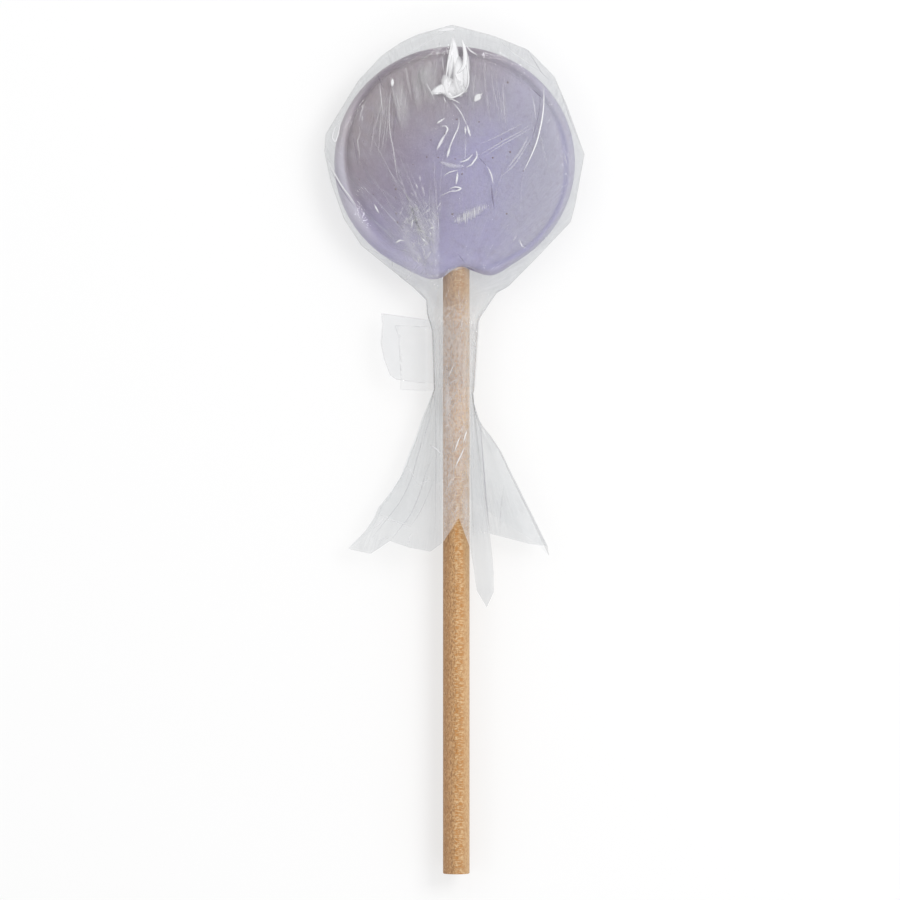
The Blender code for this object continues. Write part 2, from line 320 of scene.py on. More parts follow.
def light_room():
    world = bpy.data.worlds.new("room")
    world.use_nodes = True
    tree = Tree(world.node_tree)
    x, _, z = tree.axes(tree.node("ShaderNodeTexCoord", output="Generated"))
    shade = tree.node("ShaderNodeValToRGB", inputs={0: z})
    stops = shade.socket.node.color_ramp.elements
    brightest = max(level for _, level in ROOM)
    while len(stops) < len(ROOM):
        stops.new(0.5)
    for stop, (height, level) in zip(stops, ROOM):
        stop.position = height
        stop.color = (*[level / brightest] * 3, 1.0)
    strength = x * (brightest * ROOM_LEAN) + brightest
    glow = tree.node("ShaderNodeBackground", inputs={"Color": shade, "Strength": strength})
    tree.node("ShaderNodeOutputWorld", inputs={"Surface": glow})
    bpy.context.scene.world = world
    bpy.context.scene.view_settings.view_transform = "Standard"


light_room()
soft_box = add_lamp("soft_box", *SOFT_BOX)
soft_box.visible_glossy = False
for number, (turn, rise, power) in enumerate(LAMPS):
    turn, rise = math.radians(turn), math.radians(rise)
    towards = (math.cos(turn) * math.cos(rise), math.sin(turn) * math.cos(rise), math.sin(rise))
    add_lamp(f"lamp_{number}", towards, LAMP_DISTANCE, LAMP_SIZE, power)
print(len(LAMPS), "lamps and a soft box")


# %% Floor
def floor_material():
    """Pale and dull, with a glow of its own."""
    tree = MaterialTree("floor")
    shader = tree.principled(
        Base_Color=FLOOR_COLOUR,
        Roughness=0.9,
        Specular_IOR_Level=0.0,
        Emission_Color=(1.0, 1.0, 1.0),
        Emission_Strength=FLOOR_GLOW,
    )
    return tree.finish(shader)


bpy.ops.mesh.primitive_plane_add(size=FLOOR_SIZE, location=(0.0, 0.0, 0.0))
floor = bpy.context.object
floor.name = "floor"
floor.data.materials.append(floor_material())
floor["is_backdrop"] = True
print("a floor", FLOOR_SIZE, "m wide")

# %% [markdown]
# ## A sheet of points
# Most pieces here are one grid of points that is rolled up or turned. One helper makes a mesh from such
# a grid: rows of points, with or without a joint between the last column and the first, and with a single
# point to close an end.


# %% Mesh from a grid
def grid_mesh(name, rows, closed=True, first=None, last=None):
    """A mesh through rows of points in mm. first and last close the two ends with a fan."""
    rows = np.asarray(rows, float)
    count, across = rows.shape[:2]
    points = [placed(*point) for row in rows for point in row]
    faces = []
    for r in range(count - 1):
        for c in range(across if closed else across - 1):
            d = (c + 1) % across
            faces.append((r * across + c, r * across + d, (r + 1) * across + d, (r + 1) * across + c))
    if first is not None:
        points.append(placed(*first))
        faces += [(len(points) - 1, (c + 1) % across, c) for c in range(across)]
    if last is not None:
        points.append(placed(*last))
        start = (count - 1) * across
        faces += [(len(points) - 1, start + c, start + (c + 1) % across) for c in range(across)]
    mesh = bpy.data.meshes.new(name)
    mesh.from_pydata(points, [], faces)
    mesh.validate()
    mesh.shade_smooth()
    return add_object(name, mesh)


def add_number(mesh, name, values):
    """Lets the points of a mesh carry a number."""
    attribute = mesh.attributes.new(name, "FLOAT", "POINT")
    attribute.data.foreach_set("value", np.asarray(values, np.float32))


def hand_over(piece, material, node):
    """Gives a finished piece its material and its body, and hides the solid that it stands for."""
    piece.data.materials.clear()
    piece.data.materials.append(material)
    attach(piece, "root")
    if node:
        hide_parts(node)
    print(f"{piece.name}: {len(piece.data.polygons)} faces")


# %% [markdown]
# ## Candy
# Boiled sugar is pressed in a ring round the end of the dowel. It has a crowned face, a groove, a rounded
# rim, a thicker pad over the dowel and a notch where the dowel comes out. The disc is a turned profile
# that is then pushed about, as soft sugar is: a lathe shape alone would have no pad and no notch. The
# stamp was a little off, so the face and its groove lie nearer the edge at the top and on the right.

# %% Candy shape
CANDY_RADIUS = 28.2
DISC_COLUMNS = 288
STICK_SIDES = 96
BORE_GAP = 0.02
SHOWN_PROFILE = (
    (0.0, 5.5), (6.0, 5.5), (12.0, 5.5), (16.0, 5.45), (19.5, 5.22), (22.4, 4.85), (24.3, 4.3),
    (25.2, 3.6), (25.6, 3.2), (26.0, 3.3), (26.4, 3.65), (27.0, 3.7), (27.5, 3.3), (28.0, 2.3), (28.2, 1.1),
)
BACK_PROFILE = (
    (28.2, -0.9), (28.05, -2.4), (27.5, -3.7), (26.6, -4.7), (25.4, -5.3), (24.0, -5.5), (16.0, -5.5),
    (8.0, -5.5), (0.0, -5.5),
)
PROFILE_STEP = 0.35
PAD_HALF_WIDTH = 8.8
PAD_TOP_Y = 2.0
PAD_RISE = 0.4
PAD_TURN_Y = -11.0
PAD_EDGE = 0.86
MOUTH_Y = -26.0
MOUTH_HALF_THICKNESS = 4.65
NOTCH_DEPTH = 2.3
NOTCH_X = 2.0
NOTCH_HALF_WIDTH = 4.6
# (x, half width) of the two lobes beside the notch
LOBES = ((-5.2, 4.4), (8.6, 3.6))
LOBE_REACH = 1.0
GROOVE_RADIUS = 26.1
GROOVE_FLOOR_RADIUS = 25.8
GROOVE_FLOOR_WIDTH = 0.6
GROOVE_FILL = 0.4
RIM_TOP_RADIUS = 27.3
SURFACE_WAVE = 0.05
# how far the stamp was off: to the right, towards the top, and skewed between the two
FACE_SHIFT = 0.6
FACE_RAISE = 0.5
FACE_SKEW = 0.8


def curve_through(points, step):
    """Points at even steps on a smooth curve through the given ones (Catmull-Rom)."""
    points = [np.array(p, float) for p in points]
    points = [2 * points[0] - points[1], *points, 2 * points[-1] - points[-2]]
    out = []
    for a, b, c, d in zip(points, points[1:], points[2:], points[3:]):
        parts = max(1, int(np.linalg.norm(c - b) / step))
        for k in range(parts):
            t = k / parts
            out.append(0.5 * (2 * b + (c - a) * t + (2 * a - 5 * b + 4 * c - d) * t**2
                              + (3 * b - a - 3 * c + d) * t**3))
    out.append(points[-2])
    return np.array(out)


def face_edge(x, y, radius):
    """How much further out the edge of the stamped face lies than on a turned disc."""
    return (x * FACE_SHIFT + y * FACE_RAISE) / radius - x * y / (radius * radius) * (2 * FACE_SKEW)


def shape_candy(x, y, z):
    """Moves points of the turned disc to where they are on the pressed candy."""
    radius = np.hypot(x, y)
    on_face = smooth_step(8.0, 20.0, radius) * (1 - smooth_step(24.8, CANDY_RADIUS, radius))
    outer = np.maximum(radius, 8.0)
    grown = 1 + face_edge(x, y, outer) * np.where(z > 0, on_face, 0.0) / outer
    notch = np.exp(-(((x - NOTCH_X) / NOTCH_HALF_WIDTH) ** 2)) * NOTCH_DEPTH
    lobes = sum(np.exp(-(((x - lobe) / half) ** 2)) for lobe, half in LOBES) * LOBE_REACH
    pull = 1 - np.where(y < 0, notch - lobes, 0.0) / CANDY_RADIUS * smooth_step(17.0, 26.0, radius)
    middle = (PAD_TOP_Y + MOUTH_Y - 4.0) / 2
    across = np.abs(x - STICK_X) / PAD_HALF_WIDTH
    down = np.abs(y - middle) / (PAD_TOP_Y - middle)
    on_pad = 1 - smooth_step(PAD_EDGE, 1.0, (across**4 + down**4) ** 0.25)
    fall = smooth_step(-PAD_TURN_Y, -MOUTH_Y + 1.0, -y)
    lift = mix(FACE_HALF_THICKNESS, MOUTH_HALF_THICKNESS, fall) * (1 - 0.1 * across**2)
    lift = lift + np.where(z > 0, PAD_RISE * (1 - smooth_step(9.0, 22.0, -y)), 0.0)
    edge = np.where(radius < CANDY_RADIUS, 1 - smooth_step(RIM_TOP_RADIUS, CANDY_RADIUS + 0.05, radius), 0.0)
    lift = np.where(radius < RIM_TOP_RADIUS, lift, mix(1.6, 4.2, edge))
    lifted = np.copysign(np.maximum(lift, np.abs(z)), z)
    z = np.where(on_pad > 0, mix(z, lifted, on_pad), z)
    stretch = grown * pull / (2 * CANDY_RADIUS)
    return x * stretch * CANDY_WIDTH, y * stretch * CANDY_LENGTH, z


def surface_wave(x, y):
    """Low waves that hot sugar keeps when it sets."""
    wave = np.sin(x * 0.42 + 1.3 * np.sin(y * 0.21)) * np.sin(y * 0.37 + 0.9 * np.sin(x * 0.19 + 1.0))
    return SURFACE_WAVE * (wave + 0.5 * np.sin(x * 0.93 + y * 0.71 + 2.0))


def build_candy():
    outline = curve_through(SHOWN_PROFILE + BACK_PROFILE, PROFILE_STEP)[1:-1]
    turn = np.linspace(0, 2 * math.pi, DISC_COLUMNS, endpoint=False)
    radius, height = outline[:, :1], outline[:, 1:]
    z = np.repeat(height, DISC_COLUMNS, axis=1)
    x, y, z = shape_candy(radius * np.cos(turn), radius * np.sin(turn), z)
    in_groove = np.exp(-(((radius - GROOVE_FLOOR_RADIUS) / GROOVE_FLOOR_WIDTH) ** 2))
    fill = GROOVE_FILL * in_groove * smooth_step(4.0, 24.0, x - y * 0.8)
    z = z + np.where(z > 0, surface_wave(x, y) - SURFACE_WAVE + fill, 0.0)
    rows = np.stack([x, y, z], axis=2)
    top, base = (0.0, 0.0, float(z[0].mean())), (0.0, 0.0, -FACE_HALF_THICKNESS)
    return grid_mesh("candy_disc", rows, first=top, last=base)


def bore_for_stick(piece):
    """Cuts the hole that the dowel is set in."""
    bpy.ops.mesh.primitive_cylinder_add(
        vertices=STICK_SIDES,
        radius=(STICK_RADIUS + BORE_GAP) * MM,
        depth=(STICK_TOP_Y - STICK_END_Y) * MM,
        location=placed(STICK_X, (STICK_TOP_Y + STICK_END_Y) / 2, 0.0),
        rotation=(math.radians(90), 0.0, 0.0),
    )
    cutter = bpy.context.object
    cut = piece.modifiers.new("bore", "BOOLEAN")
    cut.operation = "DIFFERENCE"
    cut.object = cutter
    graph = bpy.context.evaluated_depsgraph_get()
    mesh = bpy.data.meshes.new_from_object(piece.evaluated_get(graph), depsgraph=graph)
    piece.modifiers.clear()
    piece.data = mesh
    bpy.data.objects.remove(cutter)
    mesh.set_sharp_from_angle(angle=math.radians(50))


candy = build_candy()
bore_for_stick(candy)
print("the disc with its bore has", len(candy.data.vertices), "points")

# %% [markdown]
# The candy is pale lilac and a little cloudy, and more violet round the pad. It is greyer and darker at the
# upper left
# and paler on the right: partly cloud, partly painted shade and painted light from the lamps on the right.
# Light goes some way into it, so the shader has subsurface scattering, and soft noise moves the colour about.
# The groove holds less light than the face, so painted shade darkens its colour, most of all at the upper
# left.


# %% Candy material
VIOLET = (0.355, 0.328, 0.505)
MAUVE = (0.24, 0.192, 0.255)
SOFT_MAUVE = (0.37, 0.335, 0.45)
WARM_GREY = (0.30, 0.252, 0.27)
PALE_GREY = (0.40, 0.386, 0.475)
RIM_GREY = (0.50, 0.475, 0.55)
RIM_MAUVE = (0.46, 0.415, 0.45)
PAINTED_SHADE_MAUVE = (0.15, 0.115, 0.155)
GROOVE_SHADE_VIOLET = (0.30, 0.28, 0.45)


def candy_material():
    tree = MaterialTree("hard_candy")
    place = tree.place()
    x, y, z = tree.axes(place)
    cloud = tree.noise(tree.spread(place, 6.0, 0.08), 0.075, 3.0, 0.55) - 0.5
    small_cloud = tree.noise(place, 0.35, 3.0, 0.6)
    fine_cloud = tree.noise(tree.spread(place, 1.5, 0.5), 0.8, 3.0, 0.65)
    speckle = tree.noise(place, 3.2, 1.0, 0.5)
    left = tree.step(x + y * 0.25 + cloud * 26.0, 7.0, -20.0) * tree.step(y + cloud * 16.0, -26.0, -4.0)
    turned = (x * x + y * y).math("SQRT").math("MAXIMUM", 1.0)
    radius = turned - face_edge(x, y, turned)
    # painted light: the rim is paler on the left, where its inner slope faces the light, and more mauve
    # towards the top
    rim = tree.step(radius + y * 0.03, 26.3, 27.4) * tree.step(x - y * 0.4, 24.0, 8.0)
    rim = rim * tree.step(y + x * 0.6, 24.0, 4.0) * tree.step(y, -24.0, -11.0)
    lit_rim_colour = tree.coats(RIM_GREY, (tree.step(y + cloud * 8.0, -2.0, 9.0), RIM_MAUVE))
    shaded_rim = tree.step(radius, 25.6, 26.4) * tree.step(radius, 28.4, 26.4)
    shaded_rim = shaded_rim * tree.step(y - x * 0.1, 12.0, 22.0)
    facing = abs(y * 0.8 - x * 0.6) / GROOVE_RADIUS
    groove = tree.step(abs(radius - GROOVE_RADIUS + cloud * 1.2), 1.0, 0.1)
    left_groove_shade = groove * tree.step(z, 0.0, 1.0) * tree.step(x - y * 0.8, 24.0, 6.0)
    colour = tree.coats(
        VIOLET,
        (tree.step(y + cloud * 10.0, 2.0, 14.0) * 0.8, SOFT_MAUVE),
        # the darker left and upper left and the paler right are partly cloud, partly painted shade and
        # painted light
        (left * 0.84, MAUVE),
        (tree.step(y - x * 0.8 + cloud * 22.0, -1.0, 30.0), WARM_GREY),
        (tree.step(x - y * 0.1 + small_cloud * 9.0, 11.0, 27.0) * 0.85, PALE_GREY),
        (tree.step(small_cloud, 0.45, 0.75) * 0.22, PALE_GREY),
        (tree.step(fine_cloud, 0.52, 0.30) * 0.26, MAUVE),
        (tree.step(speckle, 0.48, 0.72) * 0.16, RIM_GREY),
        (tree.step(speckle, 0.52, 0.28) * 0.16, MAUVE),
        (rim * 0.85, lit_rim_colour),
        # painted shade: the shaded rim at the top and the groove, deep mauve at the upper left and a milder
        # violet on the right
        (shaded_rim * 0.42, PAINTED_SHADE_MAUVE),
        (left_groove_shade * (facing * facing * 0.45 + 0.08), PAINTED_SHADE_MAUVE),
        (groove * tree.step(x - y * 0.8, 8.0, 24.0) * 0.8, GROOVE_SHADE_VIOLET),
    )
    height = tree.noise(place, 0.55, 3.0, 0.5)
    shader = tree.principled(
        Base_Color=colour,
        Roughness=tree.step(small_cloud, 0.2, 0.9) * 0.15 + 0.42,
        Specular_IOR_Level=0.22,
        Subsurface_Weight=0.25,
        Subsurface_Radius=(1.0, 0.85, 1.1),
        Subsurface_Scale=0.003,
        Normal=tree.bump(height, 0.12, 0.6),
    )
    return tree.finish(shader)


hand_over(candy, candy_material(), "candy")

# %% [markdown]
# ## Shapes grown by rule
# Specks, dowel and creases follow rules, so Geometry Nodes makes them. Each tree takes a guide mesh, whose
# points may carry numbers, and named inputs. It ends in one real mesh with its finish on it.


# %% Geometry Nodes tree
class ShapeTree(Tree):
    """A Geometry Nodes tree. kinds gives its inputs besides the guide and the finish."""

    def __init__(self, name, **kinds):
        self.group = bpy.data.node_groups.new(name, "GeometryNodeTree")
        super().__init__(self.group)
        kinds = {"Guide": "Geometry", **kinds, "Finish": "Material"}
        add_socket = self.group.interface.new_socket
        self.sockets = {
            key: add_socket(key, in_out="INPUT", socket_type="NodeSocket" + kind)
            for key, kind in kinds.items()
        }
        add_socket("Mesh", in_out="OUTPUT", socket_type="NodeSocketGeometry")
        source = self.nodes.new("NodeGroupInput")
        self.given = {key: Value(self, source.outputs[key]) for key in kinds}

    def named(self, name, kind="FLOAT"):
        """A number or vector that the points carry."""
        return self.node("GeometryNodeInputNamedAttribute", {"data_type": kind}, {"Name": name}, "Attribute")

    def store(self, name, kind, geometry, value):
        inputs = {"Name": name, "Geometry": geometry, "Value": value}
        return self.node("GeometryNodeStoreNamedAttribute", {"data_type": kind}, inputs)

    def sweep(self, curve, profile, scale, caps=False):
        """A profile swept along a curve, sized by the number called scale."""
        inputs = {"Curve": curve, "Profile Curve": profile, "Scale": self.named(scale), "Fill Caps": caps}
        return self.node("GeometryNodeCurveToMesh", inputs=inputs)

    def finish(self, geometry):
        real = self.node("GeometryNodeRealizeInstances", inputs={0: geometry})
        inputs = {"Geometry": real, "Material": self.given["Finish"]}
        self.node("NodeGroupOutput", inputs={0: self.node("GeometryNodeSetMaterial", inputs=inputs)})
        return self

    def grow(self, name, guide, **values):
        """Runs the tree on a guide mesh and keeps the mesh that it makes."""
        holder = add_object(name + "_guide", guide)
        modifier = holder.modifiers.new("grow", "NODES")
        modifier.node_group = self.group
        for key, value in values.items():
            modifier[self.sockets[key].identifier] = value
        graph = bpy.context.evaluated_depsgraph_get()
        mesh = bpy.data.meshes.new_from_object(holder.evaluated_get(graph), depsgraph=graph)
        bpy.data.objects.remove(holder)
        mesh.shade_smooth()
        return add_object(name, mesh)


def guide_mesh(name, runs):
    """Runs of points joined by edges. Each run comes with the numbers that its points carry."""
    points, edges, numbers = [], [], {}
    for run, carried in runs:
        first = len(points)
        points += run
        edges += [(first + i, first + i + 1) for i in range(len(run) - 1)]
        for key, value in carried.items():
            numbers.setdefault(key, []).extend(np.broadcast_to(value, len(run)))
    guide = bpy.data.meshes.new(name)
    guide.from_pydata(points, edges, [])
    for key, values in numbers.items():
        add_number(guide, key, values)
    return guide


# %% [markdown]
# Specks of dark fruit or sugar are caught under the surface of the face: a small flattened ball on each of
# a list of points, with its own size.

# %% Specks
SPECK_COLOURS = ((0.15, 0.095, 0.11), (0.22, 0.15, 0.18))
SPECK_RADIUS = 0.21
SPECK_FLATNESS = 0.6
SPECK_SIZES = ((0.5, 0.5, 0.5), (1.5, 1.5, 1.0))
SPECK_DEPTH = 0.04
SPECK_PIXELS = (
    (507.6, 83.5), (535, 86.7), (529, 145), (479, 123), (427, 158), (506.5, 214.5), (374, 195),
    (452.5, 215), (523, 172), (462, 175), (431, 141), (372, 136), (396, 190), (398, 223), (510, 153),
    (489, 256), (360, 180),
)
FAINT_SPECKS = 26
FAINT_REACH = 23.0
FAINT_DEPTH = 0.12


def face_height(x, y):
    """Height of the shown face where it is crowned, pad included."""
    height = np.interp(math.hypot(x, y), *np.transpose(SHOWN_PROFILE))
    return float(shape_candy(np.array(x), np.array(y), height)[2])


def scatter_tree():
    """Flattened balls on points, each of its own size."""
    tree = ShapeTree("specks", Radius="Float", Flatness="Float", Seed="Int")
    given = tree.given
    ball = tree.node("GeometryNodeMeshIcoSphere", inputs={"Subdivisions": 2, "Radius": given["Radius"]})
    smallest, largest = SPECK_SIZES
    inputs = {0: smallest, 1: largest, "Seed": given["Seed"]}
    size = tree.node("FunctionNodeRandomValue", {"data_type": "FLOAT_VECTOR"}, inputs)
    scale = tree.vector_math("MULTIPLY", size, tree.from_axes(1.0, 1.0, given["Flatness"]))
    inputs = {"Points": given["Guide"], "Instance": ball, "Scale": scale}
    return tree.finish(tree.node("GeometryNodeInstanceOnPoints", inputs=inputs))


def speck_material():
    tree = MaterialTree("fruit_speck")
    dark, light = SPECK_COLOURS
    colour = tree.coats(dark, (tree.noise(tree.place(), 2.0), light))
    return tree.finish(tree.principled(Base_Color=colour, Roughness=0.4))


def build_specks(finish):
    draw = random.Random(11)
    points = [placed(x, y, face_height(x, y) - SPECK_DEPTH) for x, y in (seen(*p) for p in SPECK_PIXELS)]
    for _ in range(FAINT_SPECKS):
        reach, turn = FAINT_REACH * math.sqrt(draw.random()), draw.uniform(0, 2 * math.pi)
        x, y = reach * math.cos(turn), reach * math.sin(turn)
        points.append(placed(x, y, face_height(x, y) - FAINT_DEPTH))
    guide = guide_mesh("speck_points", [([point], {}) for point in points])
    settings = {"Radius": SPECK_RADIUS * MM, "Flatness": SPECK_FLATNESS, "Seed": 4, "Finish": finish}
    return scatter_tree().grow("candy_specks", guide, **settings)


speck = speck_material()
hand_over(build_specks(speck), speck, None)

# %% [markdown]
# ## Dowel
# A machined beech rod: straight, with barely broken edges. It is a circle swept along a line, with a
# radius that drops at the ends.

# %% Dowel shape
STICK_STEPS = 24
# distance from the end and how much the radius drops there, both in mm
BROKEN_EDGE = ((0.0, 0.22), (0.06, 0.08), (0.22, 0.0))


def dowel_tree():
    """A round rod along a line."""
    tree = ShapeTree("dowel", Radius="Float", Sides="Int")
    line = tree.node("GeometryNodeMeshToCurve", inputs={0: tree.given["Guide"]})
    inputs = {"Radius": tree.given["Radius"], "Resolution": tree.given["Sides"]}
    ring = tree.node("GeometryNodeCurvePrimitiveCircle", inputs=inputs)
    return tree.finish(tree.sweep(line, ring, "thickness", caps=True))


def build_dowel(finish):
    """The guide is a line whose points carry the rod's thickness there, 1 but for the broken edges."""
    edge = [(place, 1 - drop / STICK_RADIUS) for place, drop in BROKEN_EDGE]
    length = STICK_TOP_Y - STICK_END_Y
    steps = edge + [(length * k / STICK_STEPS, 1.0) for k in range(1, STICK_STEPS)]
    steps += [(length - place, share) for place, share in reversed(edge)]
    line = [placed(STICK_X, STICK_END_Y + place, 0.0) for place, _ in steps]
    guide = guide_mesh("dowel_line", [(line, {"thickness": [share for _, share in steps]})])
    settings = {"Radius": STICK_RADIUS * MM, "Sides": STICK_SIDES, "Finish": finish}
    return dowel_tree().grow("stick_dowel", guide, **settings)


print(f"the dowel is {STICK_TOP_Y - STICK_END_Y:.0f} mm long")

# %% [markdown]
# Beech shows three things: straight fine grain along the rod, short dark pores, and on the face that was
# cut along the rays a column of small amber flecks that lie across the grain. All follow the object's own
# coordinates, stretched by different amounts, so the pattern runs through the rod and shows on its end too.


# %% Dowel material
BEECH = (0.45, 0.262, 0.113)
PALE_BEECH = (0.52, 0.318, 0.154)
GRAIN_BROWN = (0.32, 0.17, 0.065)
WORN_BROWN = (0.38, 0.21, 0.09)
SHADED_BROWN = (0.32, 0.138, 0.05)
LIT_BEECH = (0.62, 0.44, 0.26)
MOTTLE_BROWN = (0.33, 0.16, 0.055)
MOTTLE_PALE = (0.62, 0.43, 0.24)
RAY_AMBER = (0.41, 0.175, 0.038)
RAY_PALE = (0.64, 0.45, 0.25)
PORE_BROWN = (0.20, 0.09, 0.03)
RAY_COLUMN = 0.6


def beech_material():
    tree = MaterialTree("beech")
    x, y, z = tree.axes(tree.place())
    across = x - STICK_X
    grain = tree.noise(tree.place((1.6, 0.05, 1.6)), 1.0, 4.0, 0.6)
    broad = tree.noise(tree.place((0.5, 0.03, 0.5)), 1.0, 2.0, 0.5)
    pores = tree.noise(tree.place((3.6, 1.2, 3.6)), 1.0, 2.0, 0.6)
    flecks = tree.noise(tree.place((0.95, 2.6, 0.95)), 1.0, 2.0, 0.6)
    mottle = tree.noise(tree.spread(tree.place((2.4, 1.6, 2.4)), 0.8, 0.8), 1.0, 2.0, 0.6)
    rays = tree.step(abs(across - RAY_COLUMN), 1.7, 0.6) * tree.step(z, 0.0, 1.0)
    pore_row = tree.step(abs(across + 0.9), 0.9, 0.3) * 0.05
    dark_pores = tree.step(pores + pore_row, 0.55, 0.62) * tree.step(across, 1.4, -0.8)
    colour = tree.coats(
        BEECH,
        (tree.step(broad, 0.3, 0.7), PALE_BEECH),
        (tree.step(grain, 0.42, 0.7) * 0.45, GRAIN_BROWN),
        (tree.step(y, STICK_END_Y + 95.0, STICK_END_Y) * 0.35, WORN_BROWN),
        # painted shade on the left of the rod and painted light on its right
        (tree.step(across, -0.6, -2.0) * 0.42, SHADED_BROWN),
        (tree.step(across, 1.2, 2.8) * 0.30, LIT_BEECH),
        (tree.step(mottle, 0.50, 0.64) * 0.42, MOTTLE_BROWN),
        (tree.step(mottle, 0.48, 0.36) * 0.38, MOTTLE_PALE),
        (tree.step(flecks, 0.50, 0.58) * rays * 0.78, RAY_AMBER),
        (tree.step(flecks, 0.46, 0.38) * rays * 0.65, RAY_PALE),
        (dark_pores * 0.62, PORE_BROWN),
    )
    shader = tree.principled(
        Base_Color=colour,
        Roughness=0.62 - tree.step(grain, 0.4, 0.7) * 0.1,
        Normal=tree.bump(grain * 0.6 - dark_pores * 0.8, 0.05, 0.5),
    )
    return tree.finish(shader)


beech = beech_material()
stick = build_dowel(beech)
stick.data.set_sharp_from_angle(angle=math.radians(30))
hand_over(stick, beech, "stick")

# %% [markdown]
# ## Film
# One sheet of clear film is the whole wrapper: a bag over the disc, a gathered neck and four tails. It is
# made as one grid. Its rows run round the lollipop and its columns run from the top of the head to the
# edge of the tails, as the folds of a gathered sheet do. The outline is straight from corner to corner,
# because stiff film falls in flat facets.

# %% Film outline
# the sheet lies between the two faces of the film's solid: this far out from the inner one and in from
# the outer one, whose corners are given here
SHEET_OUT = 0.17
SHEET_IN = 0.25 - SHEET_OUT
REACH_STEPS = 1441
SHOWN_FLAT_RADIUS = 12.0
BACK_FLAT_RADIUS = 24.0
FILM_GAP = 0.25
FILM_TOP = (-0.6, 32.9)
FILM_RIGHT = (
    (9.4, 30.2), (17.6, 26.9), (23.9, 20.5), (26.9, 13.6), (31.1, 1.9), (29.0, -9.7), (27.8, -14.3),
    (20.3, -22.1), (13.0, -29.4), (10.0, -31.0), (5.9, -37.0), (5.5, -38.5), (4.5, -54.4),
)
FILM_LEFT = (
    (-9.0, 30.5), (-13.0, 28.6), (-17.6, 25.4), (-23.1, 19.5), (-27.0, 13.1), (-30.8, 6.9), (-31.2, 2.6),
    (-29.7, -4.6), (-26.6, -13.4), (-22.4, -19.8), (-15.3, -25.5), (-9.9, -29.6), (-6.6, -32.8),
    (-6.4, -36.0), (-5.2, -40.0), (-4.7, -54.4),
)
NECK_BLEND = (-26.5, -36.0)
NECK_END_Y = -54.4
NECK_HALF_HEIGHT = STICK_RADIUS + FILM_GAP + 0.3


def outline_x(side, y):
    """Outer edge of the sheet at y, on one side."""
    points = (FILM_TOP, *side)[::-1]
    edge = np.interp(y, [p[1] for p in points], [p[0] for p in points])
    return edge - math.copysign(SHEET_IN, points[-3][0])


def reach_table():
    """How far the outline is from the middle of the disc, for each direction."""
    turns = np.linspace(-math.pi, math.pi, REACH_STEPS)
    corners = np.array([FILM_TOP, *FILM_RIGHT, *FILM_LEFT[::-1]])
    following = np.roll(corners, -1, axis=0)
    reaches = []
    for turn in turns:
        way = np.array([math.cos(turn), math.sin(turn)])
        edge = following - corners
        cross = way[0] * edge[:, 1] - way[1] * edge[:, 0]
        cross = np.where(np.abs(cross) < 1e-9, 1e-9, cross)
        along = (corners[:, 0] * edge[:, 1] - corners[:, 1] * edge[:, 0]) / cross
        share = (corners[:, 0] * way[1] - corners[:, 1] * way[0]) / cross
        hits = along[(along > 0) & (share >= 0) & (share <= 1)]
        reaches.append(hits.min() - SHEET_IN)
    return turns, np.array(reaches)


REACH_TURNS, REACHES = reach_table()
print(f"the bag reaches {REACHES.min():.1f} mm or more from the middle of the disc")

# %% [markdown]
# The edge of the tails is a loop of points round the dowel. Each has a flare: with a large one the film
# hugs the dowel longer before it spreads.

# %% Tail edge
# (x, y, z, flare) of the corners, round the dowel
TAIL_HEM = (
    (22.5, -93.9, -2.0, 0.95), (22.2, -91.6, -1.0, 0.95), (17.9, -91.1, 0.5, 1.0), (8.4, -88.6, 2.3, 1.2),
    (9.2, -98.3, 3.6, 1.2), (9.2, -102.7, 4.3, 1.3), (7.6, -106.1, 4.8, 1.3), (5.2, -102.0, 4.9, 1.3),
    (3.7, -92.0, 4.8, 1.2), (1.0, -84.9, 4.3, 1.2), (-2.7, -90.6, 4.7, 1.3), (-5.7, -92.9, 4.5, 1.3),
    (-10.9, -91.9, 3.5, 1.35), (-15.6, -90.4, 2.2, 1.4), (-20.0, -93.5, 0.8, 1.4),
    (-25.7, -92.4, -0.8, 1.4), (-22.3, -89.6, -1.6, 1.35), (-18.9, -83.8, -2.6, 1.2),
    (-16.9, -84.6, -3.4, 1.2), (-12.9, -86.6, -4.0, 1.2), (-10.9, -86.9, -4.3, 1.2),
    (-8.6, -83.6, -4.6, 1.2), (-5.6, -77.5, -4.7, 1.2), (-2.3, -75.3, -4.7, 1.2), (3.7, -80.6, -4.7, 1.2),
    (10.9, -85.3, -4.4, 1.1), (18.8, -90.1, -3.3, 1.0),
)
# the outer edges of the tails, as (y, x): stiff film leaves the neck in straight runs with a kink
TAIL_EDGES = (
    ((-54.4, 4.4), (-57.7, 4.6), (-61.5, 5.7), (-63.4, 6.8), (-65.3, 8.4), (-69.2, 11.0), (-74.9, 13.7),
     (-84.4, 18.5), (-91.5, 22.0)),
    ((-54.4, -4.8), (-57.7, -6.1), (-61.5, -7.8), (-69.2, -10.7), (-74.9, -12.8), (-78.7, -15.0),
     (-82.5, -18.0), (-85.0, -19.1), (-88.2, -21.2), (-91.5, -24.5)),
)
FIRST_FRONT_CORNER = 15
FILM_COLUMNS = 400
HEAD_ROWS = 166
NECK_ROWS = 24
TAIL_ROWS = 60
CAP_ROWS = 30
CAP_FALL = 3.0
CAP_GAP = 0.3

